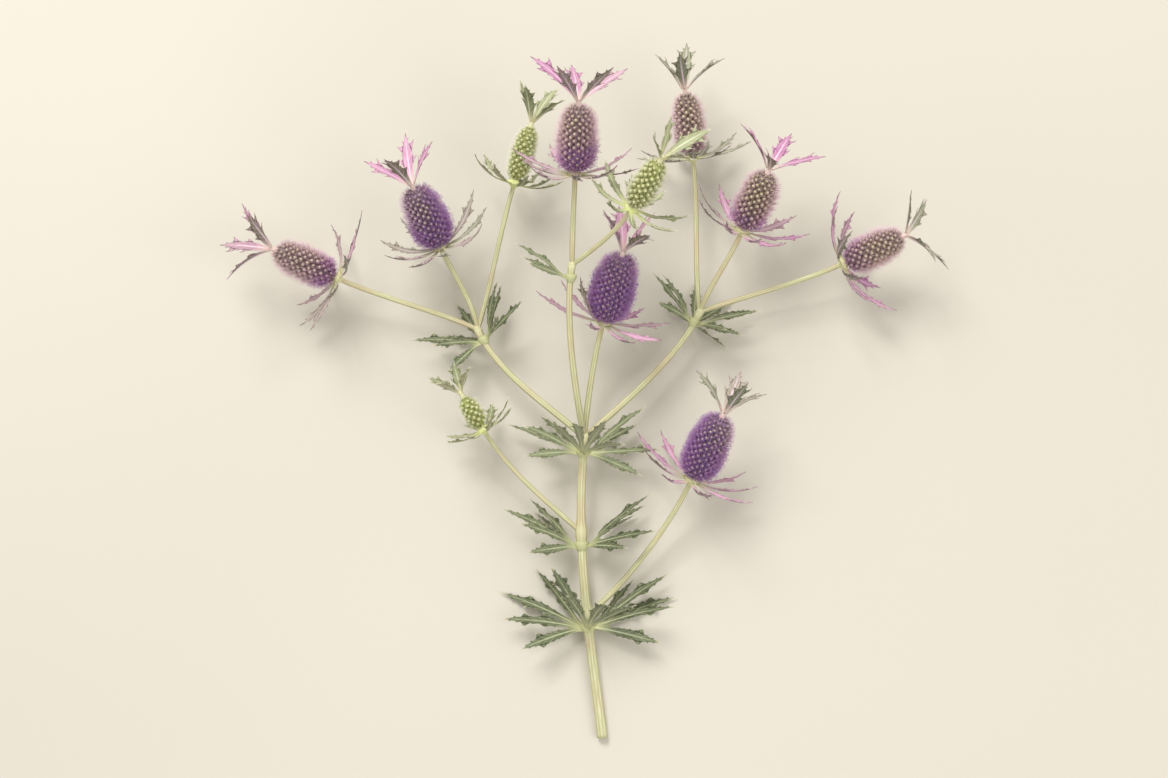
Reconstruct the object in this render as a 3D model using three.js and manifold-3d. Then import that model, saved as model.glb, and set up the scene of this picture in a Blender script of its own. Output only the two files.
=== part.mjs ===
// A cut, branching stem of sea holly lying on a surface. Millimetres, +Z up, +Y towards the flower heads.
import * as THREE from 'three';
import { mergeVertices } from 'three/addons/utils/BufferGeometryUtils.js';
import Module from 'manifold-3d';

const wasm = await Module();
wasm.setup();

// ---------------------------------------------------------------- driving dimensions
const fitGap = 0.3; // between pieces that touch
const bladeThickness = 0.8;
const bladeRoom = 0.8; // air kept between a blade and anything else
const floorReach = 14; // height at which a sinking blade starts to turn along the floor
const steepestRise = 0.4; // slope at which a blade below the floor climbs out of it
const pathSteps = 16; // steps in which a blade grows
const smallestDetail = 0.02;
const tubeStep = 17; // length of stem between two rings
const jointSwell = 1.45; // joint radius over stem radius
const rootTaper = 0.78; // radius of a branch where it leaves a joint, over its own
const rootLength = 0.2; // share of a branch in which it reaches its own radius
const sheathDrop = 8.5; // from a fork down to the leaf sheath below it
const sheathRoom = 0.5;
const sheathWall = 1.5;
const sheathMargin = 2; // height of a sheath over the half-width of its leaves
const beadSpacing = 3; // between the beads that stand for stems and heads
const beadMargin = 0.6; // radius of a blade's beads over its half-width
const leastLevel = 0.3; // level part of a direction, below which it points nearly straight down
const seeds = { crown: 4100, ruff: 5200, leaf: 6300, step: 104729 };

// How blades stand: angle is between the blade's root and the axis that carries it, curl is how far
// it bends towards its upper face, and each play is how far a value may be off, both ways. Degrees
// and millimetres, except that the play of a length is a share of it.
const crownBlades = {
  halfWidth: 2.1, widthPerReach: 0.045, curl: -20,
  play: { bearing: 8, angle: 13, length: 0.14, curl: 16, twist: 34 },
};
const ruffBlades = {
  halfWidth: 2, widthPlay: 0.5, angle: 92,
  play: { bearing: 4, angle: 5, length: 0.14, curl: 14, twist: 32 },
};
const leafLobes = {
  angle: 56, spread: 24, curl: -18,
  sideShortening: 0.14, // of a lobe's length, for each place that it stands off the middle
  baseWidth: 0.7, // half-width of a leaf's base over that of its lobes
  baseDepth: 0.5, // of a leaf's base inside the wall of its sheath
  play: { bearing: 6, spread: 4, length: 0.1, curl: 14, twist: 20 },
};

const collar = { height: 4.8, bottom: 2.2, rootRadius: 4.6, rootHeight: 2 };
const neck = { height: 4.6, bottom: 1.9, rootRadius: 1.8, rootHeight: 4 };
// Shares of a head's length; a fullness of 2 would make an ellipse of it.
const headShape = { widest: 0.4, bluntBase: 0.06, bluntTop: 0.1, fullness: 2.5 };
const floret = { pitch: 7.4, rowPitch: 4.2, height: 1.6, lean: 0.35 };

// Each branch starts at its parent's end, or at a fraction of it, and follows a cubic curve.
// A flower has its head's length and width, its age from 0 (bud) to 1 (full bloom), the number and
// length of the bracts in its ruff, their angle from the axis at the tip, and the number, length and
// angle at the root of the bracts in its crown.
const branches = [
  { name: 'main', start: [12, 34, 3.3], bend: [[5, 96, 3.3], [-7, 150, 14]], end: [0, 232, 24],
    radii: [3.3, 2.7] },
  { name: 'left_arm', from: 'main', bend: [[-18, 250, 24], [-58, 274, 22]], end: [-72, 306, 24],
    radii: [2.2, 1.9] },
  { name: 'right_arm', from: 'main', bend: [[20, 250, 26], [62, 284, 22]], end: [78, 318, 24],
    radii: [2.2, 1.9] },
  { name: 'back_arm', from: 'main', bend: [[-4, 250, 40], [-14, 302, 66]], end: [-8, 338, 78],
    radii: [2.2, 1.9] },
  { name: 'centre', from: 'main', bend: [[2, 258, 24], [7, 288, 34]], end: [12, 304, 45],
    radii: [2.1, 1.7],
    flower: { length: 46, width: 23, age: 1, bracts: 9, reach: 42, cup: 58,
      crown: 4, crownReach: 34, crownAngle: 30 } },
  { name: 'left_mid', from: 'left_arm', bend: [[-74, 322, 30], [-88, 341, 36]], end: [-95, 355, 47],
    radii: [1.8, 1.6],
    flower: { length: 42, width: 22, age: 0.8, bracts: 9, reach: 40, cup: 44,
      crown: 4, crownReach: 35, crownAngle: 36 } },
  { name: 'left_outer', from: 'left_arm', bend: [[-96, 318, 22], [-138, 328, 24]], end: [-164, 338, 35],
    radii: [1.8, 1.6],
    flower: { length: 42, width: 19, age: 0.55, bracts: 9, reach: 42, cup: 62,
      crown: 4, crownReach: 36, crownAngle: 32 } },
  { name: 'left_inner', from: 'left_arm', bend: [[-64, 330, 28], [-58, 370, 26]], end: [-48, 402, 37],
    radii: [1.7, 1.5],
    flower: { length: 36, width: 15, age: 0.05, bracts: 8, reach: 30, cup: 42,
      crown: 4, crownReach: 31, crownAngle: 26 } },
  { name: 'right_mid', from: 'right_arm', bend: [[84, 334, 32], [98, 352, 35]], end: [105, 367, 46],
    radii: [1.8, 1.6],
    flower: { length: 40, width: 20, age: 0.6, bracts: 9, reach: 42, cup: 48,
      crown: 4, crownReach: 34, crownAngle: 38 } },
  { name: 'right_outer', from: 'right_arm', bend: [[104, 328, 22], [146, 338, 24]], end: [172, 348, 35],
    radii: [1.8, 1.6],
    flower: { length: 40, width: 19, age: 0.5, bracts: 9, reach: 42, cup: 38,
      crown: 4, crownReach: 36, crownAngle: 46 } },
  { name: 'right_inner', from: 'right_arm', bend: [[74, 344, 28], [78, 390, 24]], end: [74, 420, 35],
    radii: [1.8, 1.5],
    flower: { length: 40, width: 18, age: 0.35, bracts: 9, reach: 38, cup: 60,
      crown: 4, crownReach: 34, crownAngle: 34 } },
  { name: 'back_mid', from: 'back_arm', bend: [[-8, 352, 87], [-7, 372, 92]], end: [-6, 390, 103],
    radii: [1.8, 1.6],
    flower: { length: 42, width: 21, age: 0.65, bracts: 9, reach: 42, cup: 52,
      crown: 5, crownReach: 36, crownAngle: 42 } },
  { name: 'back_side', from: 'back_arm', bend: [[2, 344, 86], [20, 352, 104]], end: [29, 364, 118],
    radii: [1.7, 1.5],
    flower: { length: 36, width: 16, age: 0.15, bracts: 8, reach: 32, cup: 40,
      crown: 4, crownReach: 32, crownAngle: 30 } },
  { name: 'low_right', from: 'main', at: 0.44, bend: [[28, 136, 10], [56, 172, 18]], end: [70, 200, 34],
    radii: [2, 1.6],
    flower: { length: 45, width: 22, age: 0.95, bracts: 9, reach: 42, cup: 50,
      crown: 4, crownReach: 34, crownAngle: 38 } },
  { name: 'low_left', from: 'main', at: 0.72, bend: [[-18, 184, 20], [-48, 206, 22]], end: [-66, 234, 34],
    radii: [1.7, 1.4],
    flower: { length: 22, width: 13, age: 0, bracts: 8, reach: 25, cup: 44,
      crown: 4, crownReach: 22, crownAngle: 32 } },
];

// Leaf whorls: the branch that each clasps, how far along, the bearing of each leaf round the stem
// (0 points to the left, 90 up), the lobes of each leaf and the length of its middle lobe.
const whorls = [
  { name: 'leaves_low', on: 'main', at: 0.44, bearings: [2, 84, 178], lobes: 5, reach: 66, width: 6.4 },
  { name: 'leaves_high', on: 'main', at: 0.72, bearings: [14, 158], lobes: 5, reach: 58, width: 5.8 },
  { name: 'leaves_fork', on: 'main', at: 1, bearings: [-8, 82, 188], lobes: 5, reach: 52, width: 5.6 },
  { name: 'leaves_left', on: 'left_arm', at: 1, bearings: [8, 160, 272], lobes: 5, reach: 44, width: 5 },
  { name: 'leaves_right', on: 'right_arm', at: 1, bearings: [20, 172, 268], lobes: 5, reach: 44,
    width: 5 },
  { name: 'leaves_back', on: 'back_arm', at: 1, bearings: [20, 150], lobes: 3, reach: 40, width: 5 },
];

// Cut outlines. Width is a share of the half-width and along a share of the length; a tooth stands
// on the edge between two stations and reaches out and forward by a share of the half-width.
const outlines = {
  bractPlain: {
    stations: [[0, 0.6], [0.34, 0.9], [0.6, 1], [0.72, 0.8]],
    teeth: [[2, -1], [2, 1]],
    out: 1.3,
    forward: 1.9,
  },
  bractToothed: {
    stations: [[0, 0.6], [0.36, 1], [0.48, 1], [0.66, 0.9], [0.76, 0.75]],
    teeth: [[1, 1], [3, -1], [3, 1]],
    out: 1.2,
    forward: 1.7,
  },
  crown: {
    stations: [[0, 0.33], [0.34, 0.9], [0.47, 1], [0.62, 0.9], [0.75, 0.65]],
    teeth: [[1, -1], [1, 1], [3, -1], [3, 1]],
    out: 0.9,
    forward: 1.7,
  },
  lobe: {
    stations: [[0.2, 0.55], [0.42, 1], [0.53, 1], [0.66, 0.9], [0.76, 0.7]],
    teeth: [[1, -1], [1, 1], [3, -1], [3, 1]],
    out: 0.9,
    forward: 1.3,
  },
  sideLobe: {
    stations: [[0.2, 0.55], [0.4, 0.95], [0.6, 1], [0.72, 0.8]],
    teeth: [[2, -1], [2, 1]],
    out: 0.9,
    forward: 1.4,
  },
};

const colours = {
  stem: 0xb4b07c,
  leaf: 0x7d8a62,
  youngHead: 0xa5ac6b,
  olderHead: 0x75654f,
  bloomHead: 0x6a4a8c,
  youngBract: 0x9aa37c,
  olderBract: 0x9c6f97,
};

// ---------------------------------------------------------------- small helpers
const up = new THREE.Vector3(0, 0, 1);
const radians = THREE.MathUtils.degToRad;
const point = ([x, y, z]) => new THREE.Vector3(x, y, z);
const cross = (a, b) => new THREE.Vector3().crossVectors(a, b);

// Park and Miller's generator, so that every run and every language draws the same numbers.
function randomSource(seed) {
  let state = seed;
  return () => {
    state = (state * 48271) % 2147483647;
    return state / 2147483647;
  };
}

const jitter = (random, amount) => (random() * 2 - 1) * amount;

function meshGeometry(vertices, faces) {
  const geometry = new THREE.BufferGeometry();
  const numbers = vertices.flatMap((vertex) => vertex.toArray());
  geometry.setAttribute('position', new THREE.Float32BufferAttribute(numbers, 3));
  geometry.setIndex(faces.flat());
  return geometry;
}

function solid(geometry) {
  const bare = geometry.clone();
  bare.deleteAttribute('normal');
  bare.deleteAttribute('uv');
  const merged = mergeVertices(bare, 1e-4);
  const mesh = new wasm.Mesh({
    numProp: 3,
    vertProperties: new Float32Array(merged.attributes.position.array),
    triVerts: new Uint32Array(merged.index.array),
  });
  return new wasm.Manifold(mesh);
}

function fuse(geometries) {
  let whole = solid(geometries[0]);
  for (const geometry of geometries.slice(1)) whole = whole.add(solid(geometry));
  const mesh = whole.simplify(smallestDetail).getMesh();
  const geometry = new THREE.BufferGeometry();
  geometry.setAttribute('position', new THREE.BufferAttribute(new Float32Array(mesh.vertProperties), 3));
  geometry.setIndex(new THREE.BufferAttribute(new Uint32Array(mesh.triVerts), 1));
  return geometry;
}

// Axes across a direction: one level, to its left, and one as upright as it can be.
function sideAxes(direction) {
  const level = cross(up, direction).normalize();
  return { level, upright: cross(direction, level).normalize() };
}

// Turns a shape built along +Z from the origin so that it stands along a direction at a place.
function stand(geometry, place, direction) {
  const { level, upright } = sideAxes(direction);
  const turn = new THREE.Matrix4().makeBasis(level, upright, direction);
  return geometry.applyMatrix4(turn.setPosition(place));
}

// ---------------------------------------------------------------- stem
function curveOf(branch) {
  const start = branch.from ? curves[branch.from].getPoint(branch.at ?? 1) : point(branch.start);
  return new THREE.CubicBezierCurve3(start, ...[...branch.bend, branch.end].map(point));
}

const curves = {};
for (const branch of branches) curves[branch.name] = curveOf(branch);

const branchNamed = (name) => branches.find((branch) => branch.name === name);

// A branch is thinner where it leaves a joint, and tapers again towards its end.
function radiusAt(branch, share) {
  const root = branch.from ? rootTaper + (1 - rootTaper) * Math.min(1, share / rootLength) : 1;
  return root * THREE.MathUtils.lerp(branch.radii[0], branch.radii[1], share);
}

const tubeSteps = (branch) => Math.max(4, Math.round(curves[branch.name].getLength() / tubeStep));

function tube(branch) {
  const curve = curves[branch.name];
  const sides = branch.from ? 6 : 8;
  const steps = tubeSteps(branch);
  const vertices = [];
  const faces = [];
  for (let i = 0; i <= steps; i += 1) {
    const { level, upright } = sideAxes(curve.getTangent(i / steps));
    const radius = radiusAt(branch, i / steps);
    for (let j = 0; j < sides; j += 1) {
      const angle = (2 * Math.PI * j) / sides;
      const vertex = curve.getPoint(i / steps).addScaledVector(level, radius * Math.cos(angle));
      vertices.push(vertex.addScaledVector(upright, radius * Math.sin(angle)));
    }
  }
  const last = steps * sides;
  for (let j = 0; j < sides; j += 1) {
    const k = (j + 1) % sides;
    for (let ring = 0; ring < last; ring += sides) {
      faces.push([ring + j, ring + k, ring + sides + k], [ring + j, ring + sides + k, ring + sides + j]);
    }
    if (j > 0 && k > 0) faces.push([0, k, j], [last, last + j, last + k]);
  }
  return meshGeometry(vertices, faces);
}

function joint(branch, share) {
  const swelling = new THREE.SphereGeometry(radiusAt(branch, share) * jointSwell, 8, 4);
  const curve = curves[branch.name];
  return stand(swelling.rotateX(Math.PI / 2), curve.getPoint(share), curve.getTangent(share));
}

function stemGeometry() {
  const joints = whorls.map((whorl) => joint(branchNamed(whorl.on), whorl.at));
  return fuse([...branches.map(tube), ...joints]);
}

// ---------------------------------------------------------------- room for each blade
// Everything that grows is remembered as a row of beads, and a blade grows only where it touches none.
const beads = [];

function addBead(place, radius, owner, step) {
  beads.push({ x: place.x, y: place.y, z: place.z, radius, owner, step });
}

const nearRoot = 2; // steps at a blade's root that may touch what carries it
const apart = 6; // steps after which blades of one whorl must have parted

function isClear(frames, radius, owner) {
  for (let i = nearRoot; i < frames.length; i += 1) {
    const { x, y, z } = frames[i].place;
    for (const bead of beads) {
      const sameWhorl = bead.owner === owner;
      const room = bead.radius + radius + bladeRoom;
      const gap = (x - bead.x) ** 2 + (y - bead.y) ** 2 + (z - bead.z) ** 2;
      if (gap < room ** 2 && !(sameWhorl && (i < apart || bead.step < apart))) return false;
    }
  }
  return true;
}

// A blade grows in small steps from its root. It curls towards its upper face, twists about itself,
// and turns along the floor where it would sink into it.
function growPath(root, forward, face, { length, curl, twist, halfWidth }) {
  const frames = [];
  const place = root.clone();
  const along = forward.clone().normalize();
  const normal = face.clone().addScaledVector(along, -face.dot(along)).normalize();
  for (let i = 0; i <= pathSteps; i += 1) {
    const across = cross(along, normal);
    frames.push({ place: place.clone(), along: along.clone(), normal: normal.clone(), across });
    place.addScaledVector(along, length / pathSteps);
    along.applyAxisAngle(across, curl / pathSteps);
    normal.applyAxisAngle(across, curl / pathSteps);
    normal.applyAxisAngle(along, twist / pathSteps);
    const floor = Math.abs(across.z) * halfWidth + Math.abs(normal.z) * bladeThickness / 2;
    const steepest = THREE.MathUtils.clamp((floor - place.z) / floorReach, -1, steepestRise);
    if (along.z < steepest) turnAlongFloor(along, normal, steepest);
  }
  return frames;
}

function turnAlongFloor(along, normal, slope) {
  const level = new THREE.Vector3(along.x, along.y, 0);
  if (level.length() < leastLevel) {
    level.add(new THREE.Vector3(normal.x, normal.y, 0).multiplyScalar(leastLevel));
  }
  along.copy(level.normalize().multiplyScalar(Math.sqrt(1 - slope ** 2))).setZ(slope);
  normal.addScaledVector(along, -normal.dot(along)).normalize();
}

// Tries the path as drawn, then leaning, swung aside and shorter, until it is clear of everything.
const leans = [0, 12, -12, 24, -24, 38];
const swings = [0, 10, -10, 20, -20];
const shortenings = [1, 0.86, 0.72, 0.58, 0.45];

function placeBlade(root, forward, face, shape, owner) {
  const across = cross(forward, face).normalize();
  const beadRadius = shape.halfWidth + beadMargin;
  for (const shortening of shortenings) {
    for (const swing of swings) {
      for (const lean of leans) {
        const aimed = forward.clone().applyAxisAngle(face, radians(swing));
        aimed.applyAxisAngle(across, radians(lean));
        const frames = growPath(root, aimed, face, { ...shape, length: shape.length * shortening });
        if (!isClear(frames, beadRadius, owner)) continue;
        frames.forEach((frame, i) => addBead(frame.place, beadRadius, owner, i));
        return frames;
      }
    }
  }
  return null;
}

// ---------------------------------------------------------------- blades
function sampleFrame(frames, share) {
  const position = share * pathSteps;
  const i = Math.min(pathSteps - 1, Math.floor(position));
  const blend = (key) => frames[i][key].clone().lerp(frames[i + 1][key], position - i);
  return {
    place: blend('place'),
    along: blend('along').normalize(),
    normal: blend('normal').normalize(),
    across: blend('across').normalize(),
  };
}

// A sheet is a list of points with the normal of each, and the triangles of its upper face.
function addPoint(sheet, frame, sideways, forward = 0) {
  const place = frame.place.clone().addScaledVector(frame.across, sideways);
  sheet.points.push(place.addScaledVector(frame.along, forward));
  sheet.normals.push(frame.normal);
  return sheet.points.length - 1;
}

// The two edge points of a blade at one station of its outline.
function addPair(sheet, frames, halfWidth, [share, width]) {
  const frame = sampleFrame(frames, share);
  return [-1, 1].map((side) => addPoint(sheet, frame, side * halfWidth * width));
}

// Adds a cut blade to a sheet, from its first pair of edge points to its tip.
function addLobe(sheet, frames, halfWidth, outline, firstPair) {
  const later = outline.stations.slice(1).map((station) => addPair(sheet, frames, halfWidth, station));
  const pairs = [firstPair, ...later];
  for (let i = 0; i < pairs.length - 1; i += 1) {
    const [left, right] = pairs[i];
    const [nextLeft, nextRight] = pairs[i + 1];
    sheet.faces.push([left, right, nextRight], [left, nextRight, nextLeft]);
  }
  const tip = addPoint(sheet, sampleFrame(frames, 1), 0);
  sheet.faces.push([...pairs.at(-1), tip]);
  for (const [i, side] of outline.teeth) {
    const out = side * halfWidth * (outline.stations[i][1] + outline.out);
    const frame = sampleFrame(frames, outline.stations[i][0]);
    const tooth = addPoint(sheet, frame, out, halfWidth * outline.forward);
    if (side < 0) sheet.faces.push([pairs[i][0], pairs[i + 1][0], tooth]);
    else sheet.faces.push([pairs[i][1], tooth, pairs[i + 1][1]]);
  }
}

// Gives a sheet its thickness, and lifts each edge that would lie below the floor. The edge between
// its first two points may be left open, to be joined to what carries it.
function thicken(sheet, openRoot) {
  const count = sheet.points.length;
  const offset = (side) => sheet.points.map((place, i) => place.clone()
    .addScaledVector(sheet.normals[i], side * bladeThickness / 2));
  const upper = offset(1);
  const lower = offset(-1);
  for (let i = 0; i < count; i += 1) {
    const lift = Math.max(0, -upper[i].z, -lower[i].z);
    upper[i].z += lift;
    lower[i].z += lift;
  }
  const edges = new Set(sheet.faces.flatMap(([a, b, c]) => [`${a} ${b}`, `${b} ${c}`, `${c} ${a}`]));
  const faces = sheet.faces.flatMap(([a, b, c]) => [[a, b, c], [c + count, b + count, a + count]]);
  for (const edge of edges) {
    const [a, b] = edge.split(' ').map(Number);
    if (edges.has(`${b} ${a}`) || (openRoot && edge === '0 1')) continue;
    faces.push([b, a, a + count], [b, a + count, b + count]);
  }
  return { vertices: [...upper, ...lower], faces, count };
}

function rootedBlade(frames, halfWidth, outline) {
  const sheet = { points: [], normals: [], faces: [] };
  addLobe(sheet, frames, halfWidth, outline, addPair(sheet, frames, halfWidth, outline.stations[0]));
  return thicken(sheet, true);
}

// Joins blades, in order round an axis, into one body: a flat foot below, a low cone on top, and the
// open roots of the blades in the wall between them.
function rosette(foot, footRadius, top, axis, blades) {
  const vertices = [];
  const faces = [];
  const lower = [];
  const upper = [];
  for (const blade of blades) {
    const first = vertices.length;
    vertices.push(...blade.vertices);
    faces.push(...blade.faces.map((face) => face.map((i) => i + first)));
    upper.push(first + 1, first);
    lower.push(first + 1 + blade.count, first + blade.count);
  }
  const base = lower.map((i) => {
    const across = vertices[i].clone().sub(foot).projectOnPlane(axis).setLength(footRadius);
    return vertices.push(across.add(foot)) - 1;
  });
  const peak = vertices.push(top) - 1;
  lower.forEach((corner, k) => {
    const next = (k + 1) % lower.length;
    faces.push([base[k], base[next], lower[next]], [base[k], lower[next], corner]);
    faces.push([upper[k], upper[next], peak]);
    if (k % 2) faces.push([corner, lower[next], upper[next]], [corner, upper[next], upper[k]]);
    if (k > 0 && next > 0) faces.push([base[0], base[next], base[k]]);
  });
  return meshGeometry(vertices, faces);
}

// A palmately cut leaf: neighbouring lobes share the point of the notch between them, and the base
// lies square to the leaf's bearing, within the wall of the sheath.
function leafGeometry(lobes, halfWidth, outward) {
  const sheet = { points: [], normals: [], faces: [] };
  const [{ place, along, normal, across }] = lobes[0];
  const base = { place, along, normal, across: across.clone().projectOnPlane(outward).normalize() };
  const centre = addPoint(sheet, base, 0);
  const baseLeft = addPoint(sheet, base, -halfWidth * leafLobes.baseWidth);
  const baseRight = addPoint(sheet, base, halfWidth * leafLobes.baseWidth);
  const pairs = lobes.map((frames) => addPair(sheet, frames, halfWidth, outlines.lobe.stations[0]));
  for (let i = 1; i < pairs.length; i += 1) {
    sheet.points[pairs[i][0]].lerp(sheet.points[pairs[i - 1][1]], 0.5);
    pairs[i - 1][1] = pairs[i][0];
  }
  lobes.forEach((frames, i) => {
    const outline = i % 2 ? outlines.lobe : outlines.sideLobe;
    addLobe(sheet, frames, halfWidth, outline, pairs[i]);
  });
  const rim = [baseRight, ...pairs.map((pair) => pair[1]).reverse(), pairs[0][0], baseLeft];
  for (let i = 1; i < rim.length; i += 1) sheet.faces.push([centre, rim[i - 1], rim[i]]);
  const { vertices, faces } = thicken(dropUnused(sheet), false);
  return meshGeometry(vertices, faces);
}

// Removes the points that sharing has left unused.
function dropUnused(sheet) {
  const used = [...new Set(sheet.faces.flat())].sort((a, b) => a - b);
  const place = new Map(used.map((old, i) => [old, i]));
  return {
    points: used.map((i) => sheet.points[i]),
    normals: used.map((i) => sheet.normals[i]),
    faces: sheet.faces.map((face) => face.map((i) => place.get(i))),
  };
}

// ---------------------------------------------------------------- flowers
function flowerFrame(branch) {
  const curve = curves[branch.name];
  const axis = curve.getTangent(1);
  const headBase = fitGap * 2 + collar.height;
  return {
    axis,
    ...sideAxes(axis),
    at: (height) => curve.getPoint(1).addScaledVector(axis, height),
    headBase,
    crownBase: headBase + branch.flower.length + fitGap,
  };
}

// A head's radius: widest two fifths of the way up, with a blunt base and a narrower top.
function headRadius(share, width) {
  const { widest, bluntBase, bluntTop, fullness } = headShape;
  const reach = share < widest ? widest + bluntBase : 1 + bluntTop - widest;
  const slope = Math.abs(share - widest) / reach;
  return (width / 2) * (1 - slope ** fullness) ** (1 / fullness);
}

// Florets stand in a lattice of rhombs, each raised to a bud that leans towards the top.
function headGeometry({ length, width }) {
  const columns = Math.max(7, Math.round((Math.PI * width) / floret.pitch));
  const rows = Math.round(length / floret.rowPitch);
  const onHead = (row, turn, outward) => {
    const radius = headRadius(row / rows, width) - floret.height / 2 + outward;
    const angle = (2 * Math.PI * turn) / columns;
    return new THREE.Vector3(radius * Math.cos(angle), radius * Math.sin(angle), (row / rows) * length);
  };
  const vertices = [];
  const faces = [];
  for (let row = 0; row <= rows; row += 1) {
    for (let column = 0; column < columns; column += 1) {
      vertices.push(onHead(row, column + (row % 2) / 2, 0));
    }
  }
  const at = (row, column) => row * columns + (column % columns);
  for (let column = 0; column < columns; column += 1) {
    for (let row = 1; row < rows; row += 1) {
      const inLine = column + (row % 2);
      const bud = onHead(row, column + 0.5 + (row % 2) / 2, floret.height);
      bud.z += floret.lean * floret.rowPitch;
      const rim = [at(row - 1, inLine), at(row, column + 1), at(row + 1, inLine), at(row, column)];
      rim.forEach((corner, i) => faces.push([corner, rim[(i + 1) % 4], vertices.length]));
      vertices.push(bud);
    }
    faces.push([at(0, column), at(0, column + 1), at(1, column)]);
    faces.push([at(rows - 1, column + (rows % 2)), at(rows, column + 1), at(rows, column)]);
    if (column > 0 && column < columns - 1) {
      faces.push([at(0, 0), at(0, column + 1), at(0, column)]);
      faces.push([at(rows, 0), at(rows, column), at(rows, column + 1)]);
    }
  }
  return meshGeometry(vertices, faces);
}

// Directions of a bract that leaves the axis at an angle, on a bearing round it.
function bractDirections({ axis, level, upright }, bearing, angle) {
  const mix = (a, b, turn) => a.clone().multiplyScalar(Math.cos(turn)).addScaledVector(b, Math.sin(turn));
  const outward = mix(level, upright, bearing);
  const forward = mix(axis, outward, angle);
  const face = mix(axis, outward, angle - Math.PI / 2);
  return { outward, forward, face };
}

function crownGeometry(branch, random) {
  const frame = flowerFrame(branch);
  const { crown, crownReach, crownAngle } = branch.flower;
  const { play } = crownBlades;
  const halfWidth = crownBlades.halfWidth + crownReach * crownBlades.widthPerReach;
  const firstBearing = random() * 360;
  const blades = [];
  for (let i = 0; i < crown; i += 1) {
    const bearing = radians(firstBearing + (360 * i) / crown + jitter(random, play.bearing));
    const angle = radians(crownAngle + jitter(random, play.angle));
    const { outward, forward, face } = bractDirections(frame, bearing, angle);
    const root = frame.at(frame.crownBase + neck.rootHeight).addScaledVector(outward, neck.rootRadius);
    const shape = {
      length: crownReach * (1 + jitter(random, play.length)),
      curl: radians(crownBlades.curl + jitter(random, play.curl)),
      twist: radians(jitter(random, play.twist)),
      halfWidth,
    };
    const frames = placeBlade(root, forward, face, shape, branch.name);
    if (frames) blades.push(rootedBlade(frames, halfWidth, outlines.crown));
  }
  const [foot, top] = [frame.crownBase, frame.crownBase + neck.height].map(frame.at);
  return rosette(foot, neck.bottom, top, frame.axis, blades);
}

function ruffGeometry(branch, random) {
  const frame = flowerFrame(branch);
  const { bracts, reach, cup } = branch.flower;
  const { play } = ruffBlades;
  const firstBearing = random() * 360;
  const blades = [];
  for (let i = 0; i < bracts; i += 1) {
    const bearing = radians(firstBearing + (360 * i) / bracts + jitter(random, play.bearing));
    const angle = radians(ruffBlades.angle + jitter(random, play.angle));
    const { outward, forward, face } = bractDirections(frame, bearing, angle);
    const root = frame.at(fitGap + collar.rootHeight).addScaledVector(outward, collar.rootRadius);
    const halfWidth = ruffBlades.halfWidth + random() * ruffBlades.widthPlay;
    const shape = {
      length: reach * (1 + jitter(random, play.length)),
      curl: angle - radians(cup + jitter(random, play.curl)),
      twist: radians(jitter(random, play.twist)),
      halfWidth,
    };
    const frames = placeBlade(root, forward, face, shape, branch.name);
    const outline = i % 2 ? outlines.bractPlain : outlines.bractToothed;
    if (frames) blades.push(rootedBlade(frames, halfWidth, outline));
  }
  const [foot, top] = [fitGap, fitGap + collar.height].map(frame.at);
  return rosette(foot, collar.bottom, top, frame.axis, blades);
}

// ---------------------------------------------------------------- leaf whorls
// A sheath clasps the straight stretch of stem between two rings of its tube.
function sheathFrame(whorl) {
  const branch = branchNamed(whorl.on);
  const curve = curves[whorl.on];
  const share = whorl.at - sheathDrop / curve.getLength();
  const steps = tubeSteps(branch);
  const ring = Math.floor(share * steps);
  const below = curve.getPoint(ring / steps);
  const above = curve.getPoint((ring + 1) / steps);
  const axis = above.clone().sub(below).normalize();
  const inner = radiusAt(branch, share) + sheathRoom;
  const centre = below.lerp(above, share * steps - ring);
  return { centre, axis, ...sideAxes(axis), inner, outer: inner + sheathWall };
}

function sheathGeometry({ centre, axis, inner, outer }, height) {
  const ring = [[inner, -1], [outer, -1], [outer, 1], [inner, 1], [inner, -1]];
  const profile = ring.map(([radius, end]) => new THREE.Vector2(radius, (end * height) / 2));
  return stand(new THREE.LatheGeometry(profile, 10).rotateX(Math.PI / 2), centre, axis);
}

function growLobes(whorl, root, forward, face, owner, random) {
  const { play } = leafLobes;
  const lobes = [];
  for (let i = 0; i < whorl.lobes; i += 1) {
    const off = i - (whorl.lobes - 1) / 2;
    const swing = -off * leafLobes.spread + jitter(random, play.spread);
    const shorter = 1 - leafLobes.sideShortening * Math.abs(off);
    const shape = {
      length: whorl.reach * shorter * (1 + jitter(random, play.length)),
      curl: radians(leafLobes.curl + jitter(random, play.curl)),
      twist: radians(jitter(random, play.twist)),
      halfWidth: whorl.width / 2,
    };
    const aim = forward.clone().applyAxisAngle(face, radians(swing));
    const frames = placeBlade(root, aim, face, shape, owner);
    if (frames) lobes.push(frames);
  }
  return lobes;
}

// A leaf that stands out sideways turns its upper face up; one above or below the stem faces along it.
function leafFace({ outward, forward, face }, level) {
  const mixed = up.clone().multiplyScalar(Math.abs(outward.dot(level))).add(face);
  return mixed.addScaledVector(forward, -mixed.dot(forward)).normalize();
}

function whorlGeometry(whorl, random) {
  const frame = sheathFrame(whorl);
  const halfWidth = whorl.width / 2;
  const pieces = [sheathGeometry(frame, halfWidth + sheathMargin)];
  for (const bearing of whorl.bearings) {
    const turned = radians(bearing + jitter(random, leafLobes.play.bearing));
    const directions = bractDirections(frame, turned, radians(leafLobes.angle));
    const face = leafFace(directions, frame.level);
    const depth = frame.inner + leafLobes.baseDepth;
    const root = frame.centre.clone().addScaledVector(directions.outward, depth);
    const lobes = growLobes(whorl, root, directions.forward, face, `${whorl.name} ${bearing}`, random);
    if (lobes.length) pieces.push(leafGeometry(lobes, halfWidth, directions.outward));
  }
  return fuse(pieces);
}

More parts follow.
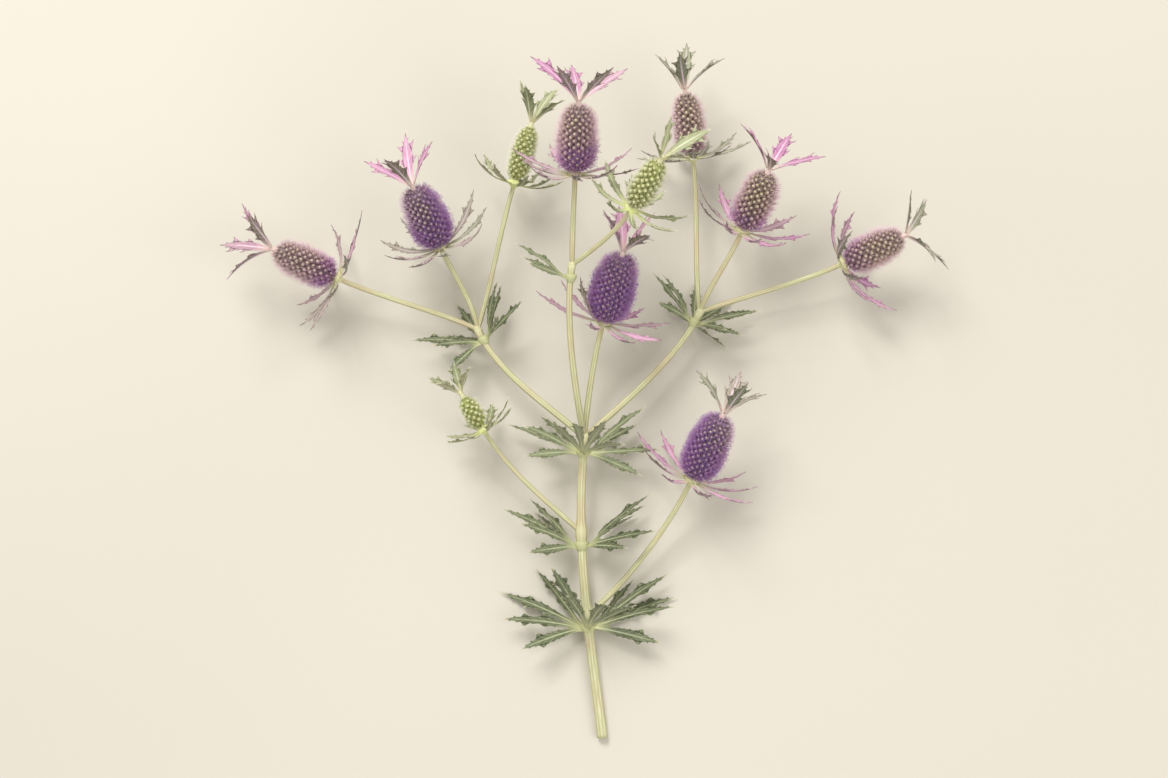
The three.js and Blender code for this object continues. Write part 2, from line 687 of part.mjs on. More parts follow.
// ---------------------------------------------------------------- assembly
function rememberStems() {
  for (const branch of branches) {
    const curve = curves[branch.name];
    const steps = Math.ceil(curve.getLength() / beadSpacing);
    for (let i = 0; i <= steps; i += 1) {
      addBead(curve.getPoint(i / steps), radiusAt(branch, i / steps), 'stem', 0);
    }
  }
}

function rememberHead(branch) {
  const frame = flowerFrame(branch);
  const { length, width } = branch.flower;
  const steps = Math.ceil(length / beadSpacing);
  for (let i = 0; i <= steps; i += 1) {
    const radius = headRadius(i / steps, width) + floret.height / 2;
    addBead(frame.at(frame.headBase + (length * i) / steps), radius, branch.name, 0);
  }
  addBead(frame.at(frame.crownBase + neck.height / 2), neck.bottom, branch.name, 0);
}

const plant = new THREE.Group();

function addPiece(name, geometry, colour, roughness) {
  const material = new THREE.MeshStandardMaterial({ color: colour, roughness, metalness: 0 });
  const mesh = new THREE.Mesh(geometry, material);
  mesh.name = name;
  plant.add(mesh);
}

const ageColour = (age, steps) => steps.findLast(([from]) => age >= from)[1];
const headColours = [[0, colours.youngHead], [0.3, colours.olderHead], [0.75, colours.bloomHead]];
const bractColours = [[0, colours.youngBract], [0.3, colours.olderBract]];

rememberStems();
const flowering = branches.filter((branch) => branch.flower);
flowering.forEach(rememberHead);

addPiece('stem', stemGeometry(), colours.stem, 0.6);
flowering.forEach((branch, i) => {
  const frame = flowerFrame(branch);
  const head = stand(headGeometry(branch.flower), frame.at(frame.headBase), frame.axis);
  addPiece(`head_${branch.name}`, head, ageColour(branch.flower.age, headColours), 0.85);
  const crown = crownGeometry(branch, randomSource(seeds.crown + i * seeds.step));
  addPiece(`crown_${branch.name}`, crown, ageColour(branch.flower.age, bractColours), 0.6);
});
flowering.forEach((branch, i) => {
  const ruff = ruffGeometry(branch, randomSource(seeds.ruff + i * seeds.step));
  addPiece(`ruff_${branch.name}`, ruff, ageColour(branch.flower.age, bractColours), 0.6);
});
whorls.forEach((whorl, i) => {
  const leaves = whorlGeometry(whorl, randomSource(seeds.leaf + i * seeds.step));
  addPiece(whorl.name, leaves, colours.leaf, 0.65);
});

// The origin is under the middle of the whole stem, on the surface that it lies on.
const box = new THREE.Box3().setFromObject(plant);
const middle = box.getCenter(new THREE.Vector3());
plant.position.set(-middle.x, -middle.y, -box.min.z);

export default plant;
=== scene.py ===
"""The looks of a cut, branching stem of sea holly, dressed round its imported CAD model.

The branches, and the rule by which every bract and leaf grows clear of the others, are the CAD
part's own, so each fine piece lies where its solid is. Lengths are millimetres until a shape
becomes a Blender object.
"""

import math
from collections import namedtuple

import bpy
import numpy as np
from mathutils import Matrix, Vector

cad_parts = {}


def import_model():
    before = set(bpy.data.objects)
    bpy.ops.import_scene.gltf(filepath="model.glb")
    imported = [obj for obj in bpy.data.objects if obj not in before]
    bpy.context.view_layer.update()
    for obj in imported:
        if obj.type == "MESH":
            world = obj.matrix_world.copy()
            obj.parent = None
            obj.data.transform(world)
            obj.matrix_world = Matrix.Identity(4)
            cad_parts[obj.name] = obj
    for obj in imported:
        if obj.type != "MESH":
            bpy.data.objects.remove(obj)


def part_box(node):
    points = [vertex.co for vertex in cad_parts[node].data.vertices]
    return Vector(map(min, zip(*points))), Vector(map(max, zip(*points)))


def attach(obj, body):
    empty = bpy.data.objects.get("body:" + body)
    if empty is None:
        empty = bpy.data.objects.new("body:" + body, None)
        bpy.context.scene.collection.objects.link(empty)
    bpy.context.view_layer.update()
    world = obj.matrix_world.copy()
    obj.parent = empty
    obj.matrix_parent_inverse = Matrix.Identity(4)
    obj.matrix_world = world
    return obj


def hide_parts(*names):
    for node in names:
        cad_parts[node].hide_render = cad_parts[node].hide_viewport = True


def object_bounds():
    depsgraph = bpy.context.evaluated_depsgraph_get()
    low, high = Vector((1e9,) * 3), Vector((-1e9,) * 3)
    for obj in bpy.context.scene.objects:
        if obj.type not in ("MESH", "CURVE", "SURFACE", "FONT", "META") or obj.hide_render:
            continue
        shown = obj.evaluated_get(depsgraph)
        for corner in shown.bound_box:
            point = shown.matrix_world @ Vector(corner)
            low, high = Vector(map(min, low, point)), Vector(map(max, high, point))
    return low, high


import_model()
cad_box = [[float(value) for value in corner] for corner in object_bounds()]

# ---------------------------------------------------------------- sizes shared with the part
FIT_GAP = 0.3
BLADE_THICKNESS = 0.8
BLADE_ROOM = 0.8
FLOOR_REACH = 14
STEEPEST_RISE = 0.4
LEAST_LEVEL = 0.3
PATH_STEPS = 16
TUBE_STEP = 17
TUBE_SIDES, MAIN_TUBE_SIDES = 6, 8
JOINT_SWELL = 1.45
ROOT_TAPER = 0.78
ROOT_LENGTH = 0.2
SHEATH_DROP = 8.5
SHEATH_ROOM = 0.5
SHEATH_WALL = 1.5
SHEATH_MARGIN = 2
BEAD_SPACING = 3
BEAD_MARGIN = 0.6
NEAR_ROOT = 2
APART = 6
LEANS = (0, 12, -12, 24, -24, 38)
SWINGS = (0, 10, -10, 20, -20)
SHORTENINGS = (1, 0.86, 0.72, 0.58, 0.45)
COLLAR = {"height": 4.8, "root_radius": 4.6, "root_height": 2}
NECK = {"height": 4.6, "bottom": 1.9, "root_radius": 1.8, "root_height": 4}
HEAD_SHAPE = {"widest": 0.4, "blunt_base": 0.06, "blunt_top": 0.1, "fullness": 2.5}
FLORET_HEIGHT = 1.6
HEAD_BASE = FIT_GAP * 2 + COLLAR["height"]  # above the stem's end
CROWN_BLADES = {
    "half_width": 2.1, "width_per_reach": 0.045, "curl": -20,
    "play": {"bearing": 8, "angle": 13, "length": 0.14, "curl": 16, "twist": 34},
}
RUFF_BLADES = {  # the play of a ruff's curl is negative, since the part takes it off the angle
    "half_width": 2, "width_play": 0.5, "angle": 92,
    "play": {"bearing": 4, "angle": 5, "length": 0.14, "curl": -14, "twist": 32},
}
LEAF_LOBES = {
    "angle": 56, "spread": 24, "curl": -18, "side_shortening": 0.14, "base_width": 0.7, "base_depth": 0.5,
    "play": {"bearing": 6, "spread": 4, "length": 0.1, "curl": 14, "twist": 20},
}
# The first line is the part's own. The second is for what is added here.
SEEDS = {"crown": 4100, "ruff": 5200, "leaf": 6300, "step": 104729,
         "stem_look": 771, "flower_look": 8800, "whorl_look": 9900, "stamens": 910}

# A branch grows from its source, or from a share of it, along a cubic curve with two handles. A flower
# has its head's length and width, its age from bud (0) to full bloom (1), the number and reach of its
# ruff's bracts and their angle at the tip, and the number, reach and first angle of its crown's.
Branch = namedtuple("Branch", "name source bend end radii at flower", defaults=(1.0, None))
Flower = namedtuple("Flower", "length width age bracts reach cup crown crown_reach crown_angle")

STEM_FOOT = (12, 34, 3.3)
BRANCHES = [
    Branch("main", None, [(5, 96, 3.3), (-7, 150, 14)], (0, 232, 24), (3.3, 2.7)),
    Branch("left_arm", "main", [(-18, 250, 24), (-58, 274, 22)], (-72, 306, 24), (2.2, 1.9)),
    Branch("right_arm", "main", [(20, 250, 26), (62, 284, 22)], (78, 318, 24), (2.2, 1.9)),
    Branch("back_arm", "main", [(-4, 250, 40), (-14, 302, 66)], (-8, 338, 78), (2.2, 1.9)),
    Branch("centre", "main", [(2, 258, 24), (7, 288, 34)], (12, 304, 45), (2.1, 1.7),
           flower=Flower(46, 23, 1, 9, 42, 58, 4, 34, 30)),
    Branch("left_mid", "left_arm", [(-74, 322, 30), (-88, 341, 36)], (-95, 355, 47), (1.8, 1.6),
           flower=Flower(42, 22, 0.8, 9, 40, 44, 4, 35, 36)),
    Branch("left_outer", "left_arm", [(-96, 318, 22), (-138, 328, 24)], (-164, 338, 35), (1.8, 1.6),
           flower=Flower(42, 19, 0.55, 9, 42, 62, 4, 36, 32)),
    Branch("left_inner", "left_arm", [(-64, 330, 28), (-58, 370, 26)], (-48, 402, 37), (1.7, 1.5),
           flower=Flower(36, 15, 0.05, 8, 30, 42, 4, 31, 26)),
    Branch("right_mid", "right_arm", [(84, 334, 32), (98, 352, 35)], (105, 367, 46), (1.8, 1.6),
           flower=Flower(40, 20, 0.6, 9, 42, 48, 4, 34, 38)),
    Branch("right_outer", "right_arm", [(104, 328, 22), (146, 338, 24)], (172, 348, 35), (1.8, 1.6),
           flower=Flower(40, 19, 0.5, 9, 42, 38, 4, 36, 46)),
    Branch("right_inner", "right_arm", [(74, 344, 28), (78, 390, 24)], (74, 420, 35), (1.8, 1.5),
           flower=Flower(40, 18, 0.35, 9, 38, 60, 4, 34, 34)),
    Branch("back_mid", "back_arm", [(-8, 352, 87), (-7, 372, 92)], (-6, 390, 103), (1.8, 1.6),
           flower=Flower(42, 21, 0.65, 9, 42, 52, 5, 36, 42)),
    Branch("back_side", "back_arm", [(2, 344, 86), (20, 352, 104)], (29, 364, 118), (1.7, 1.5),
           flower=Flower(36, 16, 0.15, 8, 32, 40, 4, 32, 30)),
    Branch("low_right", "main", [(28, 136, 10), (56, 172, 18)], (70, 200, 34), (2, 1.6), at=0.44,
           flower=Flower(45, 22, 0.95, 9, 42, 50, 4, 34, 38)),
    Branch("low_left", "main", [(-18, 184, 20), (-48, 206, 22)], (-66, 234, 34), (1.7, 1.4), at=0.72,
           flower=Flower(22, 13, 0, 8, 25, 44, 4, 22, 32)),
]
BRANCH = {entry.name: entry for entry in BRANCHES}
FLOWERING = [entry for entry in BRANCHES if entry.flower]

# A whorl's leaves stand on bearings round a branch, and have a number of lobes, the middle one of a
# reach and all of a width.
Whorl = namedtuple("Whorl", "name on at bearings lobes reach width")
WHORLS = [
    Whorl("leaves_low", "main", 0.44, (2, 84, 178), 5, 66, 6.4),
    Whorl("leaves_high", "main", 0.72, (14, 158), 5, 58, 5.8),
    Whorl("leaves_fork", "main", 1, (-8, 82, 188), 5, 52, 5.6),
    Whorl("leaves_left", "left_arm", 1, (8, 160, 272), 5, 44, 5),
    Whorl("leaves_right", "right_arm", 1, (20, 172, 268), 5, 44, 5),
    Whorl("leaves_back", "back_arm", 1, (20, 150), 3, 40, 5),
]

# Stations are (share of the length, share of the half-width). A tooth is (station, side), stands between
# that station and the next, and reaches out and forward by a share of the half-width.
Outline = namedtuple("Outline", "stations teeth out forward")


def pairs(*stations):
    return [(station, side) for station in stations for side in (-1, 1)]


OUTLINES = {
    "bract_plain": Outline([(0, 0.6), (0.34, 0.9), (0.6, 1), (0.72, 0.8)], pairs(2), 1.3, 1.9),
    "bract_toothed": Outline([(0, 0.6), (0.36, 1), (0.48, 1), (0.66, 0.9), (0.76, 0.75)],
                             [(1, 1), *pairs(3)], 1.2, 1.7),
    "crown": Outline([(0, 0.33), (0.34, 0.9), (0.47, 1), (0.62, 0.9), (0.75, 0.65)], pairs(1, 3), 0.9, 1.7),
    "lobe": Outline([(0, 0.3), (0.2, 0.55), (0.42, 1), (0.53, 1), (0.66, 0.9), (0.76, 0.7)],
                    pairs(2, 4), 0.9, 1.3),
    "side_lobe": Outline([(0, 0.3), (0.2, 0.55), (0.4, 0.95), (0.6, 1), (0.72, 0.8)], pairs(3), 0.9, 1.4),
}

# ---------------------------------------------------------------- sizes of the fine detail
STEM_RING_STEP = 2.2  # between rings of a fine stem
STEM_RIDGES = 8  # two fewer on a side branch
RIDGE_HEIGHT = 0.055  # share of the stem's radius
NODE_REACH = 5.5  # length over which a stem swells to a joint
JOINT_STRETCH = 1.15  # length of a joint over its width
CUT_END = [(0.4, 0.97), (-0.1, 0.97), (-0.25, 0.86), (-0.2, 0.6), (0.15, 0.5), (0.25, 0.05)]  # height, share
NOTCH = 0.2  # share of a lobe's length up to the notch between lobes
NOTCH_ROWS = 6
BRACT_ROWS, LEAF_ROWS = 26, 34
BLADE_COLUMNS = 4  # on each side of the midrib
COLUMNS = 2 * BLADE_COLUMNS + 1
TIP_WIDTH = 0.03  # share of the half-width
TIP_HOLLOW = 1.25  # power of a blade's taper: 1 is straight
HORNY_FROM = 0.8  # share of a blade's length from which it turns into a spine
TOOTH_ROWS = 5
TOOTH_KNEE = (0.3, 0.75)  # how far forward and out a tooth bends, as shares of the way to its tip
TOOTH_TIP, TOOTH_HOLLOW = 0.02, 1.5  # share of its root's width, and power of its taper
UNRIMMED = 0.85  # share of the way from the midrib to the edge, up to which a blade has no pale rim
TOOTH_LIFT = 1.4  # over the half-width: a tooth folds and waves no more than the blade would there
FOLD_BEND = 1.2  # power: 1 folds a blade sharply along its midrib, 2 rounds it
SPINY = (0.3, 0.94)  # shares of a blade's length between which its edge has small spines
SPINE_EVERY = 3  # rows
SPINE_REACH = (2.2, 0.85)  # forward and out from the edge
BRACT_FOLD, BRACT_WAVE, BRACT_WAVES = (0.1, 0.26), (0.25, 0.45), (1.5, 2.5)  # least and most
LEAF_FOLD, LEAF_WAVE, LEAF_WAVES = (0.12, 0.22), 0.5, 2.4
EDGE_LAG = 1.3  # radians by which the waves of one edge follow the other's
ANY_PHASE = 6.28
RIPE_FROM, RIPE_OVER = 0.1, 0.5  # the age at which bracts begin to turn mauve, and how long it takes
CROWN_GREEN = 1.1  # the most by which a whole ruff or crown is greener than its flower
BLADE_PLAY = 0.3  # of a bract's own ripeness
EDGE_THICKNESS, RIB_THICKNESS, RIB_WIDTH = 0.28, 0.85, 0.5
KEEL_DEPTH, KEEL_WIDTH = 0.32, 0.42  # of the midrib below a blade
CROWN_RIDGES, RUFF_RIDGES, SHEATH_RIDGES = 7, 13, 14  # round a crown's neck, a ruff's collar and a sheath
GROOVE_DEPTH = 0.035  # share of a ring's radius
NECK_RINGS = [(-1.4, 1.2), (0, 1.9), (1.4, 1.55), (3, 1.7), (4.2, 2.1), (5, 1.5), (5.4, 0.2)]
COLLAR_RINGS = [(0.5, 2.9), (1.5, 4.6), (2.3, 5.2), (3.2, 4.9), (4.4, 3.6), (5.4, 2.6), (5.8, 0.3)]
FLORET_PITCH = 6.0  # round the head
FLORET_ROW = 2.2  # along the head
FLORET_SPAN = (0.03, 0.98)  # shares of the head's length
FLORET_PLAY = 0.11  # of a floret's place, over its pitch, and of its size
FLORET_LEAN = 0.3  # radians towards the head's top
FLORET_TURN = 0.8  # share of the slope of the head's side that its florets turn with
SMALLEST_FLORET = 0.5
SNUG = 0.84  # share of the pitch below which florets shrink
FEWEST_COLUMNS = 7
SLOPE_STEP = 0.01  # share of the head's length over which its slope is measured
CORE_DEPTH = 1.8  # of the body that the florets stand on, inside the head
CORE_RINGS = 22
BUD_RINGS = [(0.1, 1.85), (1.15, 1.45), (1.65, 0.95), (2.1, 0.74), (2.45, 0.48), (2.55, 0.08)]
BRISTLE_FEET = (  # across, towards the head's top, and share of the reach
    (0, -1.5, 1.0), (-1.25, -0.9, 0.86), (1.25, -0.9, 0.9), (-1.5, 0.1, 0.95), (1.5, 0.2, 0.82),
    (-1.0, 1.1, 0.74), (1.0, 1.1, 0.8),
)
BRISTLE_REACH = (5.2, 7.6)  # of a bud and of a flower
BRISTLE_LEAN = 0.8  # of its tip, towards the head's top
SEPALS = PETALS = 5
STAMENS_EACH = 6
STAMEN_KINDS = 4
STAMEN_SPREAD, STAMEN_REACH = (1.5, 3.0), (3.8, 7.6)  # least and most
SIDES = {"joint": 24, "cut": 32, "bud": 8, "core": 26}
OPEN_FROM = 1.32  # a floret opens where its flush passes this less its head's age
OPEN_PLAY = 0.16
MILLIMETRE = 0.001

UP = np.array((0.0, 0.0, 1.0))
SPIKE_SIDE = np.array((-0.31, -0.9, -0.17))  # aslant to every spike, which UP isn't


# ---------------------------------------------------------------- small helpers
def random_source(seed):
    """Park and Miller's generator, which draws the same numbers as the part does."""
    state = seed
    while True:
        state = state * 48271 % 2147483647
        yield state / 2147483647


def source_for(kind, i):
    return random_source(SEEDS[kind] + i * SEEDS["step"])


def jitter(source, amount):
    return (next(source) * 2 - 1) * amount


def between(source, low, high):
    return low + (high - low) * next(source)


def limited(value):
    return min(1.0, max(0.0, value))


def unit(vectors):
    return vectors / np.linalg.norm(vectors, axis=-1, keepdims=True)


def dot(a, b):
    return (a * b).sum(-1, keepdims=True)


def squared(vectors, axes):
    """Unit vectors with what runs along unit axes taken out."""
    return unit(vectors - axes * dot(vectors, axes))


def rotate(vectors, axes, angles):
    """Turns vectors about unit axes; angles are radians and may be an array with a last axis of 1."""
    cosine, sine = np.cos(angles), np.sin(angles)
    return vectors * cosine + np.cross(axes, vectors) * sine + axes * dot(axes, vectors) * (1 - cosine)


def arc(t, root, knee, tip):
    """Places on a bow from a root to a tip, drawn towards its knee."""
    return (1 - t) ** 2 * root + 2 * t * (1 - t) * knee + t * t * tip


def hermite(t, start, end, start_slope, end_slope):
    """Values of a smooth step from start to end."""
    ends = (1 + 2 * t) * (1 - t) ** 2 * start + t * t * (3 - 2 * t) * end
    return ends + t * (1 - t) ** 2 * start_slope - t * t * (1 - t) * end_slope


def smooth(shares, knots):
    """Values of a smooth curve through (share, value) knots."""
    x, y = np.array(knots, float).T
    slopes = np.gradient(y, x)
    i = np.clip(np.searchsorted(x, shares, side="right") - 1, 0, len(x) - 2)
    step = x[i + 1] - x[i]
    t = np.clip((shares - x[i]) / step, 0, 1)
    return hermite(t, y[i], y[i + 1], step * slopes[i], step * slopes[i + 1])


class Axes:
    """A place on a stem, or many, and three axes: along it, level across it and as upright as can be."""

    def __init__(self, place, along, reference=UP):
        self.place = place
        self.along = along
        self.reference = reference
        self.level = unit(np.cross(reference, along))
        self.upright = unit(np.cross(along, self.level))

    def at(self, height):
        return self.place + self.along * height

    def raised(self, heights):
        return Axes(self.at(np.asarray(heights)[:, None]), self.along, self.reference)

    def outward(self, bearing):
        return self.level * math.cos(bearing) + self.upright * math.sin(bearing)

    def directions(self, bearing, angle):
        """Outward, forward and upper face of a blade that leaves at an angle, on a bearing."""
        outward = self.outward(bearing)
        forward = self.along * math.cos(angle) + outward * math.sin(angle)
        return outward, forward, self.along * math.sin(angle) - outward * math.cos(angle)


class Curve:
    """A cubic curve with its two handles."""

    def __init__(self, *points):
        self.points = np.array(points, float)
        places = self.at(np.linspace(0, 1, 201))
        self.length = float(np.linalg.norm(np.diff(places, axis=0), axis=1).sum())

    def at(self, share):
        t = np.asarray(share, float)[..., None]
        a, b, c, d = self.points
        return (1 - t) ** 3 * a + 3 * (1 - t) ** 2 * t * b + 3 * (1 - t) * t ** 2 * c + t ** 3 * d

    def axes(self, share):
        t = np.asarray(share, float)
        tangent = unit(self.at(np.minimum(t + 1e-4, 1)) - self.at(np.maximum(t - 1e-4, 0)))
        return Axes(self.at(share), tangent)


CURVES = {}
for entry in BRANCHES:
    foot = CURVES[entry.source].at(entry.at) if entry.source else STEM_FOOT
    CURVES[entry.name] = Curve(foot, *entry.bend, entry.end)


def radius_at(entry, share):
    """A branch's radius: thinner where it leaves a joint, and tapering towards its end."""
    first, last = entry.radii
    root = ROOT_TAPER + (1 - ROOT_TAPER) * np.minimum(1, share / ROOT_LENGTH) if entry.source else 1
    return root * (first + (last - first) * share)


def tube_steps(entry):
    return max(4, math.floor(CURVES[entry.name].length / TUBE_STEP + 0.5))


# ---------------------------------------------------------------- room for each blade
class Room:
    """Beads that stand for everything that has grown; a blade grows only where it touches none."""

    def __init__(self):
        fields = [("place", float, 3), ("radius", float), ("owner", object), ("step", int)]
        self.beads = np.empty(0, fields)

    def add(self, places, radii, owner, steps=0):
        added = np.empty(len(places), self.beads.dtype)
        for name, values in (("place", places), ("radius", radii), ("owner", owner), ("step", steps)):
            added[name] = values
        self.beads = np.append(self.beads, added)

    def clear(self, paths, radius, owner):
        """For each path, whether it is clear of all beads but its own flower's or leaf's near the root."""
        root = paths[0, 0]
        reach = np.linalg.norm(paths - root, axis=-1).max() + radius + BLADE_ROOM + self.beads["radius"]
        near = self.beads[np.linalg.norm(self.beads["place"] - root, axis=1) < reach]
        gaps = ((paths[:, NEAR_ROOT:, None] - near["place"]) ** 2).sum(-1)
        touching = gaps < (near["radius"] + radius + BLADE_ROOM) ** 2
        steps = np.arange(NEAR_ROOT, PATH_STEPS + 1)[:, None]
        related = (near["owner"] == owner) & ((steps < APART) | (near["step"] < APART))
        return ~(touching & ~related).any(axis=(1, 2))


room = Room()


def grow_paths(root, forwards, face, shape):
    """Grows a blade along each direction at once: it curls towards its upper face, twists about
    itself, and turns along the floor where it would sink into it."""
    along = unit(forwards)
    normal = squared(face, along)
    place = np.broadcast_to(root, along.shape).copy()
    curl, twist = shape["curl"] / PATH_STEPS, shape["twist"] / PATH_STEPS
    grown = []
    for _ in range(PATH_STEPS + 1):
        across = np.cross(along, normal)
        grown.append((place, along, normal, across))
        place = place + along * shape["length"] / PATH_STEPS
        along = rotate(along, across, curl)
        normal = rotate(rotate(normal, across, curl), along, twist)
        floor = np.abs(across[:, 2]) * shape["half_width"] + np.abs(normal[:, 2]) * BLADE_THICKNESS / 2
        steepest = np.clip((floor - place[:, 2]) / FLOOR_REACH, -1, STEEPEST_RISE)
        along, normal = turn_along_floor(along, normal, steepest, along[:, 2] < steepest)
    keys = ("place", "along", "normal", "across")
    return {key: np.stack(values, axis=1) for key, values in zip(keys, zip(*grown))}


def turn_along_floor(along, normal, slope, sinks):
    level = along * (1, 1, 0)
    short = np.linalg.norm(level, axis=1) < LEAST_LEVEL
    level[short] += (normal * (1, 1, 0))[short] * LEAST_LEVEL
    level = np.where(sinks[:, None], level, (1, 0, 0))
    turned = unit(level) * np.sqrt(1 - slope ** 2)[:, None]
    turned[:, 2] = slope
    return (np.where(sinks[:, None], turned, along),
            np.where(sinks[:, None], squared(normal, turned), normal))


def place_blade(root, forward, face, shape, owner):
    """Tries the path as drawn, then leaning, swung aside and shorter, until it is clear."""
    across = unit(np.cross(forward, face))
    swung = [rotate(forward, face, math.radians(swing)) for swing in SWINGS]
    aims = np.array([rotate(aim, across, math.radians(lean)) for aim in swung for lean in LEANS])
    bead_radius = shape["half_width"] + BEAD_MARGIN
    for shortening in SHORTENINGS:
        shorter = {**shape, "length": shape["length"] * shortening}
        grown = grow_paths(root, aims, face, shorter)
        free = np.flatnonzero(room.clear(grown["place"], bead_radius, owner))
        if len(free):
            path = {key: values[free[0]] for key, values in grown.items()}
            room.add(path["place"], bead_radius, owner, np.arange(PATH_STEPS + 1))
            return {**path, **shorter}
    return None


def sample(path, shares):
    """Places, upper faces and directions across, at shares of a blade's path."""
    position = shares * PATH_STEPS
    i = np.clip(np.floor(position).astype(int), 0, PATH_STEPS - 1)
    t = (position - i)[:, None]
    places = path["place"]
    slopes = np.gradient(places, axis=0)
    place = hermite(t, places[i], places[i + 1], slopes[i], slopes[i + 1])
    normal, across = (unit(path[key][i] * (1 - t) + path[key][i + 1] * t) for key in ("normal", "across"))
    return place, normal, across


# ---------------------------------------------------------------- growing it all, in the part's order
def blade_shape(length, curl, half_width, play, source):
    """The measures of a blade, with its length, curl and twist each a little off."""
    return {
        "length": length * (1 + jitter(source, play["length"])),
        "curl": math.radians(curl + jitter(source, play["curl"])),
        "twist": math.radians(jitter(source, play["twist"])),
        "half_width": half_width,
    }


def bearings_round(count, play, source):
    """Bearings spread evenly round an axis from a chance one, each a little off."""
    first = next(source) * 360
    for i in range(count):
        yield math.radians(first + 360 * i / count + jitter(source, play))


def crown_base(bloom):
    return HEAD_BASE + bloom.length + FIT_GAP


def crown_blades(bloom, source):
    """The bearing, angle and measures of each bract."""
    play = CROWN_BLADES["play"]
    half_width = CROWN_BLADES["half_width"] + bloom.crown_reach * CROWN_BLADES["width_per_reach"]
    for bearing in bearings_round(bloom.crown, play["bearing"], source):
        angle = bloom.crown_angle + jitter(source, play["angle"])
        yield bearing, angle, blade_shape(bloom.crown_reach, CROWN_BLADES["curl"], half_width, play, source)


def ruff_blades(bloom, source):
    """The bearing, angle and measures of each bract."""
    play = RUFF_BLADES["play"]
    for bearing in bearings_round(bloom.bracts, play["bearing"], source):
        angle = RUFF_BLADES["angle"] + jitter(source, play["angle"])
        half_width = RUFF_BLADES["half_width"] + next(source) * RUFF_BLADES["width_play"]
        yield bearing, angle, blade_shape(bloom.reach, angle - bloom.cup, half_width, play, source)


def grow_bracts(entry, base, ring, blades, outlines):
    """The path and outline of each bract of a neck or collar that finds room."""
    axes = CURVES[entry.name].axes(1.0)
    grown = []
    for i, (bearing, angle, shape) in enumerate(blades):
        outward, forward, face = axes.directions(bearing, math.radians(angle))
        root = axes.at(base + ring["root_height"]) + outward * ring["root_radius"]
        path = place_blade(root, forward, face, shape, entry.name)
        if path:
            grown.append((path, outlines[i % len(outlines)]))
    return grown


def grow_crown(entry, source):
    blades = crown_blades(entry.flower, source)
    return grow_bracts(entry, crown_base(entry.flower), NECK, blades, ["crown"])


def grow_ruff(entry, source):
    blades = ruff_blades(entry.flower, source)
    return grow_bracts(entry, FIT_GAP, COLLAR, blades, ["bract_toothed", "bract_plain"])


def sheath_at(whorl):
    """The axes of a whorl's sheath, between two rings of the part's stem, and the stem's radius."""
    entry, curve = BRANCH[whorl.on], CURVES[whorl.on]
    share = whorl.at - SHEATH_DROP / curve.length
    steps = tube_steps(entry)
    ring = math.floor(share * steps)
    part = share * steps - ring
    below, above = curve.at(ring / steps), curve.at((ring + 1) / steps)
    return Axes(below * (1 - part) + above * part, unit(above - below)), float(radius_at(entry, share))


def grow_leaf(whorl, bearing, source):
    """The paths of a leaf's lobes, and the way that the leaf faces from the stem."""
    axes, stem_radius = sheath_at(whorl)
    play = LEAF_LOBES["play"]
    turned = math.radians(bearing + jitter(source, play["bearing"]))
    outward, forward, face = axes.directions(turned, math.radians(LEAF_LOBES["angle"]))
    face = squared(UP * abs(float(outward @ axes.level)) + face, forward)
    root = axes.place + outward * (stem_radius + SHEATH_ROOM + LEAF_LOBES["base_depth"])
    lobes = []
    for i in range(whorl.lobes):
        off = i - (whorl.lobes - 1) / 2
        swing = -off * LEAF_LOBES["spread"] + jitter(source, play["spread"])
        length = whorl.reach * (1 - LEAF_LOBES["side_shortening"] * abs(off))
        shape = blade_shape(length, LEAF_LOBES["curl"], whorl.width / 2, play, source)
        aim = rotate(forward, face, math.radians(swing))
        lobes.append(place_blade(root, aim, face, shape, f"{whorl.name} {bearing}"))
    return [path for path in lobes if path], outward


def bead_shares(length):
    steps = math.ceil(length / BEAD_SPACING)
    return np.arange(steps + 1) / steps


def head_radius(share, width):
    widest, fullness = HEAD_SHAPE["widest"], HEAD_SHAPE["fullness"]
    reach = np.where(share < widest, widest + HEAD_SHAPE["blunt_base"],
                     1 + HEAD_SHAPE["blunt_top"] - widest)
    slope = np.abs(share - widest) / reach
    return width / 2 * np.maximum(0, 1 - slope ** fullness) ** (1 / fullness)


def remember_head(entry):
    axes, bloom = CURVES[entry.name].axes(1.0), entry.flower
    shares = bead_shares(bloom.length)
    radii = head_radius(shares, bloom.width) + FLORET_HEIGHT / 2
    room.add(axes.raised(HEAD_BASE + bloom.length * shares).place, radii, entry.name)
    room.add(axes.at(crown_base(bloom) + NECK["height"] / 2)[None], NECK["bottom"], entry.name)


for entry in BRANCHES:
    curve = CURVES[entry.name]
    shares = bead_shares(curve.length)
    room.add(curve.at(shares), radius_at(entry, shares), "stem")
for entry in FLOWERING:
    remember_head(entry)
CROWNS = {entry.name: grow_crown(entry, source_for("crown", i)) for i, entry in enumerate(FLOWERING)}
RUFFS = {entry.name: grow_ruff(entry, source_for("ruff", i)) for i, entry in enumerate(FLOWERING)}
LEAVES = {}
for i, whorl in enumerate(WHORLS):
    draws = source_for("leaf", i)
    LEAVES[whorl.name] = [grow_leaf(whorl, bearing, draws) for bearing in whorl.bearings]


